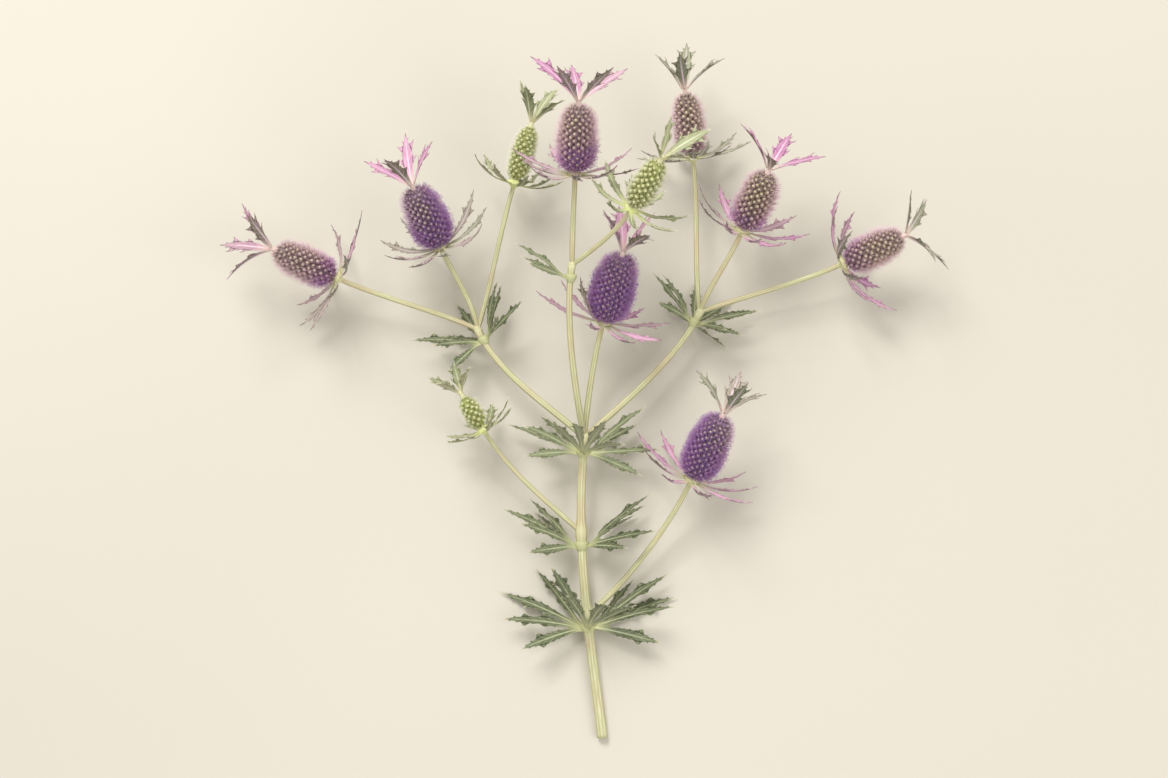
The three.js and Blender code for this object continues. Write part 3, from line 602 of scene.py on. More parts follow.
# ---------------------------------------------------------------- shapes
class Shape:
    """A mesh being gathered: points in the part's own millimetres, faces, and values at each point.

    along: share of a blade's or head's length, or millimetres along a branch. rib: 0 on a midrib or
    ridge, 1 on an edge or in a groove. under: 1 on a lower face, or the place round a branch. spine: 1
    where a blade is horny, or at the middle of the cut end. tip: 0 at a root and 1 at a tip, or 1 on a
    joint. tint: how mauve or violet. tone: a chance value for each piece. ruff: 1 on a ruff.
    """

    VALUES = ("along", "rib", "under", "spine", "tone", "tip", "tint", "ruff")

    def __init__(self):
        self.points = []
        self.faces = []
        self.slots = []
        self.values = {name: [] for name in self.VALUES}
        self.count = 0

    def add(self, points, faces, slot=0, **values):
        self.points.append(points)
        self.faces += [[corner + self.count for corner in face] for face in faces]
        self.slots += [slot] * len(faces)
        for name in self.VALUES:
            self.values[name].append(np.broadcast_to(values.get(name, 0.0), len(points)))
        self.count += len(points)

    def add_copies(self, template, places, slot, **values):
        """Adds a copy of a template shape at each place, with the axes and scale of each."""
        points = np.concatenate(template.points)
        tip = np.concatenate(template.values["tip"])
        for i, (origin, axes, scale) in enumerate(zip(*places)):
            own = {name: value[i] for name, value in values.items()}
            self.add(points * scale @ axes + origin, template.faces, slot, tip=tip, **own)


def loft(rings, closed_start=True):
    """Points and faces of a tube through rings of points, an array (rings, sides, 3)."""
    count, sides = rings.shape[:2]
    last = (count - 1) * sides
    faces = []
    for ring in range(0, last, sides):
        for j in range(sides):
            k = (j + 1) % sides
            faces.append([ring + j, ring + k, ring + sides + k, ring + sides + j])
    if closed_start:
        faces.append(list(range(sides))[::-1])
    faces.append(list(range(last, last + sides)))
    return rings.reshape(-1, 3), faces


def rings_round(axes, radii, sides):
    """A ring round each place of some axes. There is a radius for each ring, or for each of its points."""
    angles = 2 * math.pi * np.arange(sides) / sides
    radii = np.reshape(radii, (len(axes.place), -1))
    across = (radii * np.cos(angles))[..., None] * axes.level[..., None, :]
    return axes.place[:, None] + across + (radii * np.sin(angles))[..., None] * axes.upright[..., None, :]


def ridge_wave(ridges, sides):
    """1 on a ridge and -1 in a groove, round a ring."""
    return np.cos(ridges * 2 * math.pi * np.arange(sides) / sides)


def revolve(axes, profile, sides, ridges=0, base=0.0):
    """A closed shape of revolution from (height, radius) pairs, with grooves between its ridges."""
    heights, radii = np.array(profile, float).T
    relief = 1 - GROOVE_DEPTH * (1 - ridge_wave(ridges, sides))
    return loft(rings_round(axes.raised(base + heights), radii[:, None] * relief, sides))


def rim_edges(faces):
    edges = {(face[i], face[(i + 1) % len(face)]) for face in faces for i in range(len(face))}
    return [(a, b) for a, b in edges if (b, a) not in edges]


def add_sheet(shape, sheet, **values):
    """Gives a sheet its two faces and its edge, and lifts what would lie below the floor."""
    top = sheet["points"] + sheet["normals"] * sheet["upper"][:, None]
    bottom = sheet["points"] - sheet["normals"] * sheet["lower"][:, None]
    lift = np.maximum(0, -np.minimum(top[:, 2], bottom[:, 2]))
    top[:, 2] += lift
    bottom[:, 2] += lift
    count = len(top)
    under = [[corner + count for corner in face[::-1]] for face in sheet["faces"]]
    walls = [[b, a, a + count, b + count] for a, b in rim_edges(sheet["faces"])]
    both = {name: np.tile(sheet[name], 2) for name in ("along", "rib", "spine")}
    shape.add(np.vstack([top, bottom]), sheet["faces"] + under + walls,
              under=np.repeat((0.0, 1.0), count), tone=sheet["tone"], **both, **values)


# ---------------------------------------------------------------- blades
def row_shares(outline, rows):
    """Shares of the length at which a blade has rows: every station and even steps between them."""
    stations = [share for share, _ in outline.stations] + [1.0]
    shares = [0.0]
    for first, last in zip(stations, stations[1:]):
        steps = NOTCH_ROWS if first == 0 and last == NOTCH else max(3, round((last - first) * rows))
        shares += list(np.linspace(first, last, steps + 1)[1:])
    return np.array(shares)


def blade_widths(outline, shares):
    """Shares of the half-width: smooth up to the last station, then a hollow taper to a spine."""
    last, width = outline.stations[-1]
    body = smooth(np.minimum(shares, last), outline.stations)
    taper = np.clip((1 - shares) / (1 - last), 0, 1) ** TIP_HOLLOW
    return np.where(shares > last, width * taper + TIP_WIDTH, body)


def flat_blade(outline, half_width, length, rows):
    """A blade laid flat: the faces, and for each point how far along and across it is, its share of
    the way from the midrib to the edge, and how horny it is."""
    shares = row_shares(outline, rows)
    widths = blade_widths(outline, shares) * half_width
    columns = np.linspace(-1, 1, COLUMNS)
    horny = np.clip((shares - HORNY_FROM) / (1 - HORNY_FROM), 0, 1)
    grid = (shares[:, None] * length, widths[:, None] * columns, np.abs(columns), horny[:, None])
    points = list(np.stack(np.broadcast_arrays(*grid), -1).reshape(-1, len(grid)))
    faces = [[corner, corner + 1, corner + COLUMNS + 1, corner + COLUMNS]
             for row in range(len(shares) - 1)
             for corner in range(row * COLUMNS, (row + 1) * COLUMNS - 1)]
    for first, last, side, reach in blade_teeth(outline, shares, widths, half_width):
        edge = [row * COLUMNS + (COLUMNS - 1 if side > 0 else 0) for row in range(first, last + 1)]
        add_tooth(points, faces, edge, side, reach)
    return np.array(points), faces


def blade_teeth(outline, shares, widths, half_width):
    """The outline's own teeth, and small spines on the rows between that they leave free. Each is its
    first and last row, its side, and how far forward and out its tip is."""
    teeth = []
    for station, side in outline.teeth:
        first, last = (int(np.argmin(np.abs(shares - outline.stations[station + i][0]))) for i in (0, 1))
        out = side * half_width * (outline.stations[station][1] + outline.out)
        teeth.append((first, last, side, (outline.forward * half_width, out)))
    start, end = np.searchsorted(shares, SPINY)
    for side in (-1, 1):
        for row in range(start + (side > 0), end - 1, SPINE_EVERY):
            if all(side != other or row + 1 <= first or row >= last for first, last, other, _ in teeth):
                teeth.append((row, row + 1, side, (SPINE_REACH[0], side * (widths[row] + SPINE_REACH[1]))))
    return teeth


def add_tooth(points, faces, edge, side, reach):
    """Grows a hooked spine from a stretch of a blade's edge, which loses its pale rim there."""
    for i in edge:
        points[i][2] = UNRIMMED
    base = np.array([points[i][:2] for i in edge])
    middle = base.mean(0)
    tip = np.array((base[0][0] + reach[0], reach[1]))
    knee = middle + (tip - middle) * TOOTH_KNEE
    for t in np.arange(1, TOOTH_ROWS + 1) / TOOTH_ROWS:
        narrowing = max(TOOTH_TIP, (1 - t) ** TOOTH_HOLLOW)
        grown = list(range(len(points), len(points) + len(edge)))
        for place in arc(t, middle, knee, tip) + (base - middle) * narrowing:
            points.append(np.array((*place, UNRIMMED, t)))
        for i in range(len(edge) - 1):
            face = [edge[i], edge[i + 1], grown[i + 1], grown[i]]
            faces.append(face[::-1] if side < 0 else face)
        edge = grown


def blade_sheet(path, outline, rows, look):
    """Lays a flat blade along its path, folded along the midrib, with waved edges and a keel."""
    length, half = path["length"], path["half_width"]
    flat, faces = flat_blade(OUTLINES[outline], half, length, rows)
    along, across, rib, spine = flat.T
    shares = along / length
    inside = np.clip(shares, 0, 1)
    place, normal, sideways = sample(path, inside)
    beyond = path["along"][-1] * ((shares - inside) * length)[:, None]
    offset = np.minimum(np.abs(across) / half, TOOTH_LIFT)
    wave = np.sin(2 * math.pi * look["waves"] * shares + look["phase"] + (across > 0) * EDGE_LAG)
    rise = look["fold"] * offset ** FOLD_BEND * half + look["wave"] * offset ** 2 * wave
    body = np.exp(-(across / RIB_WIDTH) ** 2) * (1 - spine)
    half_thick = (EDGE_THICKNESS + (RIB_THICKNESS - EDGE_THICKNESS) * body) / 2
    return {
        "points": place + sideways * across[:, None] + normal * rise[:, None] + beyond,
        "normals": normal,
        "upper": half_thick,
        "lower": half_thick + KEEL_DEPTH * np.exp(-(across / KEEL_WIDTH) ** 2) * (1 - inside),
        "along": inside,
        "rib": rib,
        "spine": spine,
        "faces": faces,
        "tone": look["tone"],
    }


def bract_sheet(path, outline, draws):
    look = {
        "tone": next(draws), "fold": between(draws, *BRACT_FOLD), "wave": between(draws, *BRACT_WAVE),
        "waves": between(draws, *BRACT_WAVES), "phase": ANY_PHASE * next(draws),
    }
    return blade_sheet(path, outline, BRACT_ROWS, look)


def leaf_sheet(lobes, outward, draws):
    """A palmately cut leaf: up to the notch, neighbouring lobes meet halfway between their ribs."""
    base = squared(lobes[0]["across"][0], outward)
    sheets = []
    for i, path in enumerate(lobes):
        look = {
            "tone": next(draws), "fold": between(draws, *LEAF_FOLD), "wave": LEAF_WAVE,
            "waves": LEAF_WAVES, "phase": ANY_PHASE * next(draws),
        }
        sheet = blade_sheet(path, "lobe" if i % 2 else "side_lobe", LEAF_ROWS, look)
        off = (i - (len(lobes) - 1) / 2) * 2 * LEAF_LOBES["base_width"] * path["half_width"] / len(lobes)
        fading = np.clip(1 - sheet["along"] / NOTCH, 0, 1) ** 2
        sheet["points"] = sheet["points"] + base * (off * fading)[:, None]
        sheets.append(sheet)
    return join_lobes(sheets)


def join_lobes(sheets):
    """Shares the edges of neighbouring lobes below the notch, so that the leaf is one sheet."""
    rows = NOTCH_ROWS + 1
    grids = [sheet["points"][: rows * COLUMNS].reshape(rows, COLUMNS, 3) for sheet in sheets]
    ribs = [grid[:, BLADE_COLUMNS].copy() for grid in grids]
    shares = np.linspace(0, 1, BLADE_COLUMNS + 1)[None, :, None]
    for i in range(len(sheets) - 1):
        meeting = (ribs[i] + ribs[i + 1])[:, None] / 2 * shares
        grids[i][:, BLADE_COLUMNS:] = ribs[i][:, None] * (1 - shares) + meeting
        left = ribs[i + 1][:, None] * (1 - shares) + meeting
        grids[i + 1][:, : BLADE_COLUMNS + 1] = left[:, ::-1]
    starts = np.cumsum([0] + [len(sheet["points"]) for sheet in sheets])
    place = np.arange(starts[-1])
    for before, start in zip(starts, starts[1:-1]):
        for row in range(0, rows * COLUMNS, COLUMNS):
            place[start + row] = before + row + COLUMNS - 1
    corners = np.vstack([place[np.array(sheet["faces"]) + start] for sheet, start in zip(sheets, starts)])
    used, renumbered = np.unique(corners, return_inverse=True)
    whole = {name: np.concatenate([sheet[name] for sheet in sheets])[used]
             for name in ("points", "normals", "upper", "lower", "along", "rib", "spine")}
    return {**whole, "faces": renumbered.reshape(corners.shape).tolist(), "tone": sheets[0]["tone"]}


# ---------------------------------------------------------------- the stem
def swelling(entry, shares):
    """How far a branch swells towards the joints on it, as a share of its radius."""
    swell = np.zeros_like(shares)
    for whorl in WHORLS:
        if whorl.on == entry.name:
            distance = (shares - whorl.at) * CURVES[entry.name].length
            swell += (JOINT_SWELL - 1) * np.exp(-(distance / NODE_REACH) ** 2)
    return swell


def add_branch(shape, entry, tone):
    curve = CURVES[entry.name]
    ridges = STEM_RIDGES - 2 if entry.source else STEM_RIDGES
    sides = 4 * ridges
    shares = np.linspace(0, 1, math.ceil(curve.length / STEM_RING_STEP) + 1)
    count = len(shares)
    swell = swelling(entry, shares)
    ridge = ridge_wave(ridges, sides)
    relief = 1 + RIDGE_HEIGHT * ridge * np.exp(-2 * swell)[:, None]
    radii = (radius_at(entry, shares) * (1 + swell))[:, None] * relief
    shape.add(
        *loft(rings_round(curve.axes(shares), radii, sides)),
        along=np.repeat(shares * curve.length, sides),
        rib=np.tile(0.5 - 0.5 * ridge, count),
        under=np.tile(np.abs(2 * np.arange(sides) / sides - 1), count),
        tip=np.repeat(swell / (JOINT_SWELL - 1), sides), tone=tone,
    )


def add_joint(shape, entry, share, tone):
    """A smooth swelling in which the branches of a fork are rooted."""
    radius = float(radius_at(entry, share)) * JOINT_SWELL
    profile = [(JOINT_STRETCH * radius * math.sin(angle), radius * math.cos(angle))
               for angle in np.radians(np.linspace(-80, 80, 9))]
    joint = revolve(CURVES[entry.name].axes(share), profile, SIDES["joint"])
    shape.add(*joint, tip=1.0, tone=tone, rib=0.3)


def add_cut_end(shape):
    """The cut face: a rim of bark, a ring of wood and a sunk pith."""
    radius = BRANCH["main"].radii[0]
    rings = [(height, share * radius) for height, share in CUT_END]
    towards_middle = np.repeat([1 - share for _, share in CUT_END], SIDES["cut"])
    shape.add(*revolve(CURVES["main"].axes(0.0), rings, SIDES["cut"]), spine=towards_middle)


def stem_shape():
    shape = Shape()
    draws = random_source(SEEDS["stem_look"])
    for entry in BRANCHES:
        add_branch(shape, entry, next(draws))
    for whorl in WHORLS:
        add_joint(shape, BRANCH[whorl.on], whorl.at, next(draws))
    add_cut_end(shape)
    return shape


# ---------------------------------------------------------------- bracts and leaves
def add_ring(shape, axes, profile, ridges, base=0.0, **values):
    """A collar, neck or sheath, which is coloured as the root of a blade is."""
    sides = 4 * ridges
    rib = np.tile(0.3 - 0.25 * ridge_wave(ridges, sides), len(profile))
    shape.add(*revolve(axes, profile, sides, ridges, base), along=0.03, rib=rib, **values)


def ripeness(entry):
    """How mauve a flower's bracts are, from its age."""
    return limited((entry.flower.age - RIPE_FROM) / RIPE_OVER)


def bracts_shape(entry, blades, draws, ring, ruff=0.0):
    """A ruff or crown: its bracts, and the collar or neck that they grow from. A whole one may stay
    greener than its flower."""
    shape = Shape()
    whole = ripeness(entry) - CROWN_GREEN * next(draws) ** 3
    tints = [limited(whole + jitter(draws, BLADE_PLAY)) for _ in blades]
    for (path, outline), tint in zip(blades, tints):
        add_sheet(shape, bract_sheet(path, outline, draws), tint=tint, ruff=ruff)
    add_ring(shape, CURVES[entry.name].axes(1.0), tone=next(draws), tint=ripeness(entry), ruff=ruff, **ring)
    return shape


def crown_shape(entry, draws):
    neck = {"profile": NECK_RINGS, "ridges": CROWN_RIDGES, "base": crown_base(entry.flower)}
    return bracts_shape(entry, CROWNS[entry.name], draws, neck)


def ruff_shape(entry, draws):
    stem = entry.radii[1]
    rings = [(-1.8, stem * 0.9), (-0.7, stem * 1.12), *COLLAR_RINGS]
    return bracts_shape(entry, RUFFS[entry.name], draws, {"profile": rings, "ridges": RUFF_RIDGES}, ruff=1.0)


def whorl_shape(whorl, draws):
    shape = Shape()
    axes, inner = sheath_at(whorl)
    for lobes, outward in LEAVES[whorl.name]:
        if lobes:
            add_sheet(shape, leaf_sheet(lobes, outward, draws))
    half = (whorl.width / 2 + SHEATH_MARGIN) / 2
    outer = inner + SHEATH_ROOM + SHEATH_WALL
    rings = [(-half - 1.2, inner * 0.95), (-half, inner + 0.7), (0, outer * 0.95), (half, outer),
             (half + 0.5, outer - 0.6), (half + 0.9, inner * 0.9)]
    add_ring(shape, axes, rings, SHEATH_RIDGES, tone=next(draws))
    return shape


# ---------------------------------------------------------------- flower heads
def add_spike(shape, root, knee, tip, radii, rings, tips=(0.0, 1.0)):
    """Adds a three-sided, tapering, bent spike, with the values for "tip" at its two ends."""
    t = np.linspace(0, 1, rings)[:, None]
    centres = arc(t, *(np.array(point, float) for point in (root, knee, tip)))
    axes = Axes(centres, unit(np.gradient(centres, axis=0)), SPIKE_SIDE)
    widths = radii[0] + (radii[1] - radii[0]) * t ** 0.8
    points, faces = loft(rings_round(axes, widths, 3), closed_start=False)
    shape.add(points, faces, tip=np.repeat(tips[0] + (tips[1] - tips[0]) * t, 3))


def round_about(count, phase):
    return [2 * math.pi * (i + phase) / count for i in range(count)]


def ray(angle, out, height):
    """A point of a floret at an angle round its axis."""
    return np.array((out * math.cos(angle), out * math.sin(angle), height))


def bud_template():
    """A plump bud with a blunt, pale tip."""
    shape = Shape()
    axes = Axes(np.zeros(3), UP, reference=np.array((0, 1, 0)))
    points, faces = revolve(axes, BUD_RINGS, SIDES["bud"])
    shape.add(points, faces, tip=points[:, 2] / BUD_RINGS[-1][0])
    return shape


def bristle_template(reach):
    """The long bracts round a floret, and the short sepals round its tip."""
    shape = Shape()
    for x, y, share in BRISTLE_FEET:
        tip = (1.45 * x, 1.3 * y + BRISTLE_LEAN, share * reach)
        add_spike(shape, (x, y, 0.5), (1.35 * x, 1.35 * y, 0.6 * share * reach), tip, (0.27, 0.05), 3)
    for angle in round_about(SEPALS, 0.3):
        add_spike(shape, ray(angle, 1.0, 1.3), ray(angle, 1.05, 2.2), ray(angle, 0.7, 3.0), (0.22, 0.04), 2)
    return shape


def stamen_template(draws):
    """Curled threads with an anther each, standing round a bud, and the petals between them."""
    shape = Shape()
    for angle in round_about(STAMENS_EACH, next(draws)):
        turned = angle + jitter(draws, 0.5)
        spread = between(draws, *STAMEN_SPREAD)
        height = between(draws, *STAMEN_REACH)
        tip = ray(turned, spread, height)
        knee = ray(turned, 1.1, 0.62 * height) + (jitter(draws, 0.6), jitter(draws, 0.6), 0)
        add_spike(shape, ray(turned, 1.05, 1.3), knee, tip, (0.14, 0.09), 4, tips=(0.0, 0.7))
        lean = 0.6 * (ray(turned, 0.6, 0.5) + (jitter(draws, 0.4), jitter(draws, 0.4), 0))
        add_spike(shape, tip - lean, tip, tip + lean, (0.24, 0.14), 2, tips=(1.0, 1.0))
    for angle in round_about(PETALS, 0.5 + next(draws)):
        root, knee, tip = ray(angle, 0.9, 1.6), ray(angle, 1.5, 2.5), ray(angle, 1.3, 3.2)
        add_spike(shape, root, knee, tip, (0.34, 0.1), 3, tips=(0.0, 0.4))
    return shape


def core_radius(share, width):
    """The head's radius under its florets, closed at both ends."""
    end = np.clip((np.abs(share - 0.5) - 0.4) / 0.11, 0, 0.98)
    return (head_radius(np.clip(share, 0, 1), width) - CORE_DEPTH) * np.sqrt(1 - end ** 2)


def floret_places(entry, draws):
    """Where each floret stands: its place, axes and scale, its share of the height and its bearing."""
    axes, length, width = CURVES[entry.name].axes(1.0), entry.flower.length, entry.flower.width
    columns = max(FEWEST_COLUMNS, round(math.pi * width / FLORET_PITCH))
    rows = round(length / FLORET_ROW)
    places = []
    for row, share in enumerate(np.linspace(*FLORET_SPAN, rows)):
        radius = float(core_radius(share, width))
        slope = float(core_radius(share + SLOPE_STEP, width) - core_radius(share - SLOPE_STEP, width))
        climb = math.atan2(-slope, 2 * SLOPE_STEP * length) * FLORET_TURN + FLORET_LEAN
        fit = min(1.0, max(SMALLEST_FLORET, 2 * math.pi * radius / columns / (FLORET_PITCH * SNUG)))
        for column in range(columns):
            turn = column + (row % 2) / 2 + jitter(draws, FLORET_PLAY)
            height = HEAD_BASE + share * length + jitter(draws, FLORET_PLAY) * FLORET_ROW
            scale = fit * (1 + jitter(draws, FLORET_PLAY))
            bearing = 2 * math.pi * turn / columns
            outward = axes.outward(bearing)
            around = np.cross(axes.along, outward)
            out = outward * math.cos(climb) + axes.along * math.sin(climb)
            turned = [around, np.cross(out, around), out]
            places.append((axes.at(height) + outward * radius, turned, scale, share, bearing))
    return [np.array(values) for values in zip(*places)]


def flush(age, shares, bearings, draws):
    """How violet each floret is: from the base up, and more on the side that has had the sun."""
    sunny = 0.5 + 0.5 * np.cos(bearings - ANY_PHASE * next(draws))
    flushed_share = 0.12 + 0.5 * age
    base = np.clip(1.15 - shares / flushed_share, 0, 1)
    noise = np.array([jitter(draws, 0.12) for _ in shares])
    tint = base * min(1, 0.3 + age) + sunny * 0.55 * age + 0.5 * max(0, age - 0.7) + noise
    return np.clip(tint, 0, 1) * min(1, age * 2.5)


def head_shape(entry, draws):
    shape = Shape()
    age, length, width = entry.flower.age, entry.flower.length, entry.flower.width
    *where, shares, bearings = floret_places(entry, draws)
    tint = flush(age, shares, bearings, draws)
    values = {"along": shares, "tint": tint, "tone": np.array([next(draws) for _ in shares])}
    # The core, seen only between the florets, takes the painted shade of their crevices from the bud
    # material.
    core = [(share * length, max(0.2, float(core_radius(share, width)) - 0.1))
            for share in np.linspace(-0.005, 1.005, CORE_RINGS)]
    body = revolve(CURVES[entry.name].axes(1.0), core, SIDES["core"], base=HEAD_BASE)
    shape.add(*body, tint=0.3 * age)
    shape.add_copies(bud_template(), where, 0, **values)
    reach = BRISTLE_REACH[0] + (BRISTLE_REACH[1] - BRISTLE_REACH[0]) * min(1, 1.5 * age)
    shape.add_copies(bristle_template(reach), where, 1, **values)
    opened = tint + np.array([jitter(draws, OPEN_PLAY) for _ in tint]) > OPEN_FROM - age
    for kind in range(STAMEN_KINDS):
        own = opened & (np.arange(len(tint)) % STAMEN_KINDS == kind)
        template = stamen_template(random_source(SEEDS["stamens"] + kind))
        shape.add_copies(template, [part[own] for part in where], 2,
                         **{name: value[own] for name, value in values.items()})
    return shape


# ---------------------------------------------------------------- materials
def rgb(code):
    """A colour from its six hexadecimal digits, for light added linearly."""
    shares = [int(code[i:i + 2], 16) / 255 for i in (0, 2, 4)]
    return [share / 12.92 if share <= 0.04045 else ((share + 0.055) / 1.055) ** 2.4
            for share in shares] + [1.0]


class Shader:
    """Builds the nodes of one material, a call for each node; every call gives the node's output."""

    def __init__(self, name, roughness, specular):
        self.material = bpy.data.materials.new(name)
        self.material.use_nodes = True
        self.tree = self.material.node_tree
        self.surface = self.tree.nodes["Principled BSDF"]
        self.surface.inputs["Roughness"].default_value = roughness
        self.surface.inputs["Specular IOR Level"].default_value = specular

    def node(self, kind, inputs=(), output=0, **properties):
        node = self.tree.nodes.new(kind)
        for name, value in properties.items():
            setattr(node, name, value)
        for key, value in dict(inputs).items():
            self.plug(node.inputs[key], value)
        return node.outputs[output]

    def plug(self, socket, value):
        if isinstance(value, bpy.types.NodeSocket):
            self.tree.links.new(value, socket)
        else:
            socket.default_value = value

    def values(self, *names):
        return [self.node("ShaderNodeAttribute", output="Fac", attribute_name=name) for name in names]

    def ramp(self, factor, *stops):
        output = self.node("ShaderNodeValToRGB", {"Fac": factor})
        elements = output.node.color_ramp.elements
        while len(elements) < len(stops):
            elements.new(0.5)
        for element, (place, colour) in zip(elements, stops):
            element.position = place
            element.color = rgb(colour) if isinstance(colour, str) else (colour, colour, colour, 1)
        return output

    def mix(self, factor, a, b):
        a, b = (rgb(part) if isinstance(part, str) else part for part in (a, b))
        return self.node("ShaderNodeMix", {0: factor, 6: a, 7: b}, output=2, data_type="RGBA")

    def maths(self, operation, a, b):
        return self.node("ShaderNodeMath", {0: a, 1: b}, operation=operation)

    def times(self, a, b):
        return self.maths("MULTIPLY", a, b)

    def plus(self, a, b):
        return self.maths("ADD", a, b)

    def noise(self, scale, detail=2.0, vector=None):
        place = vector or self.node("ShaderNodeTexCoord", output="Object")
        return self.node("ShaderNodeTexNoise", {"Vector": place, "Scale": scale, "Detail": detail})

    def finish(self, colour, height=None, strength=0.0, distance=0.0):
        self.plug(self.surface.inputs["Base Color"], colour)
        if height is not None:
            relief = {"Strength": strength, "Distance": distance, "Height": height}
            self.plug(self.surface.inputs["Normal"], self.node("ShaderNodeBump", relief))
        return self.material


def stem_material():
    shader = Shader("stem_skin", 0.48, 0.4)
    around, along, ridge, tip, middle, tone = shader.values("under", "along", "rib", "tip", "spine", "tone")
    lengthwise = {0: shader.times(around, 14.0), 1: shader.times(along, 0.05), 2: tone}
    streaks = shader.noise(1.6, 3.0, shader.node("ShaderNodeCombineXYZ", lengthwise))
    green = shader.ramp(streaks, (0.3, "b2b286"), (0.52, "cacaa0"), (0.75, "e2e0c0"))
    blush = shader.times(shader.ramp(shader.noise(38.0), (0.42, 0.0), (0.66, 0.75)), 0.4)
    blushed = shader.mix(blush, green, "cfa08e")
    grooved = shader.mix(shader.ramp(ridge, (0.35, 0.0), (0.95, 0.55)), blushed, "9a9666")
    jointed = shader.mix(shader.ramp(tip, (0.2, 0.0), (0.9, 0.6)), grooved, "d3d0a8")
    cut = shader.ramp(middle, (0.0, "a8a868"), (0.15, "cfc898"), (0.45, "ece6c8"))
    whole = shader.mix(shader.ramp(middle, (0.0, 0.0), (0.02, 1.0)), jointed, cut)
    return shader.finish(whole, shader.plus(streaks, shader.times(ridge, -0.6)), 0.35, 0.0002)


def blade_material(name, top, reverse, root, spine, vein, stripes, collar=None, unripe=None):
    """A bract's or leaf's skin: two-sided colour, pale midrib and side veins, a pale root and horny
    spines. top is its dark and light colour, reverse three that blades go through, collar the
    colour of a ruff's root, and unripe the upper and lower colour of a blade that isn't mauve yet."""
    shader = Shader(name, 0.52, 0.35)
    along, rib, under, horny, tone = shader.values("along", "rib", "under", "spine", "tone")
    patches = shader.noise(120.0, 3.0)
    mottle = shader.plus(shader.times(tone, 0.5), shader.times(patches, 0.6))
    upper = shader.ramp(mottle, (0.25, top[0]), (0.75, top[1]))
    lower = shader.ramp(mottle, (0.28, reverse[0]), (0.5, reverse[1]), (0.78, reverse[2]))
    skin = shader.mix(under, upper, lower)
    if unripe:
        skin = shader.mix(*shader.values("tint"), shader.mix(under, *unripe), skin)
    slant = shader.maths("SUBTRACT", shader.times(along, stripes), shader.times(rib, 1.1))
    vein_line = shader.ramp(shader.maths("PINGPONG", slant, 0.5), (0.0, 1.0), (0.12, 0.0))
    veined = shader.mix(shader.times(vein_line, 0.3), skin, vein)
    midrib = shader.times(shader.ramp(rib, (0.05, 1.0), (0.22, 0.0)),
                          shader.ramp(along, (0.1, 1.0), (0.95, 0.25)))
    ribbed = shader.mix(midrib, veined, vein)
    edged = shader.mix(shader.ramp(rib, (UNRIMMED, 0.0), (1.0, 0.4)), ribbed, vein)
    if collar:
        root = shader.mix(*shader.values("ruff"), root, collar)
    rooted = shader.mix(shader.ramp(along, (0.0, 1.0), (0.16, 0.35), (0.3, 0.0)), edged, root)
    tipped = shader.mix(shader.ramp(horny, (0.45, 0.0), (0.95, 0.85)), rooted, spine)
    return shader.finish(tipped, shader.plus(shader.times(vein_line, 0.6), patches), 0.4, 0.00025)


def bud_material(name, crevice, low, high, violet):
    """A head's buds: painted shade in the crevices between them, and up each bud's side a painted darker
    foot and a lighter band, then its own pale tip. low and high are those colours at the head's base and
    top, violet where the floret has flushed."""
    shader = Shader(name, 0.55, 0.3)
    height, tone, along, tint = shader.values("tip", "tone", "along", "tint")
    grain = shader.noise(900.0)
    shade = shader.plus(height, shader.times(grain, 0.12))
    # Up each bud: painted shade at its foot and in the crevice, lighter up its side, then its own pale tip.
    lower, upper = (shader.ramp(shade, (0.1, crevice), (0.45, side[0]), (0.68, side[1]), (0.82, side[2]))
                    for side in (low, high))
    plain = shader.mix(shader.ramp(along, (0.2, 0.0), (0.75, 1.0)), lower, upper)
    # A flushed bud runs the same way: painted shade at its foot, then violet, then its own pale tip.
    flushed = shader.ramp(shade, (0.1, violet[0]), (0.45, violet[1]), (0.72, violet[2]), (0.9, low[2]))
    # Each floret is also darkened by chance towards the painted crevice shade colour.
    varied = shader.mix(shader.times(tone, 0.22), shader.mix(tint, plain, flushed), crevice)
    return shader.finish(varied, grain, 0.3, 0.0002)


def bristle_material(name, base, tip, violet_base, violet_tip):
    shader = Shader(name, 0.45, 0.35)
    height, tint = shader.values("tip", "tint")
    plain = shader.ramp(height, (0.1, base), (0.7, tip))
    flushed = shader.ramp(height, (0.1, violet_base), (0.7, violet_tip))
    return shader.finish(shader.mix(tint, plain, flushed))


def stamen_material():
    shader = Shader("stamens", 0.4, 0.3)
    height, tone = shader.values("tip", "tone")
    thread = shader.ramp(height, (0.0, "8a5c98"), (0.4, "aa7cb8"), (0.69, "c8a0d2"), (0.9, "7e6ab4"))
    return shader.finish(shader.mix(shader.times(tone, 0.6), thread, "c482b4"))


# PLUM runs from painted shade at a flushed bud's foot, through violet, to pale violet.
PLUM = ("866a86", "a480a2", "c4a2c0")
STEM_SKIN = stem_material()
STAMENS = stamen_material()
# In each line the first colour is the painted shade between buds, and the first of each trio paints a bud's
# foot darker.
BUDS = {
    "head_young": bud_material("buds_young", "a0a664", ("acb270", "c0c288", "dbd8ae"),
                               ("b2bc70", "c8ce88", "e2e2b2"), PLUM),
    "head_mid": bud_material("buds_mid", "84746a", ("8c7c6e", "a09282", "cec2aa"),
                             ("949266", "acaa7a", "d8d4ae"), PLUM),
    "head_bloom": bud_material("buds_bloom", "7c6a76", ("8a7880", "9c8c8c", "c8baae"),
                               ("8e8a68", "a6a07c", "d0c8ac"), PLUM),
}
BRISTLES = {
    "head_young": bristle_material("bristles_young", "b4be78", "f2f1da", "b89cac", "e8d2dc"),
    "head_mid": bristle_material("bristles_mid", "a08a78", "e8c6d0", "9c6e98", "daa8cc"),
    "head_bloom": bristle_material("bristles_bloom", "8c7286", "d0aac8", "845c9a", "b888c0"),
}
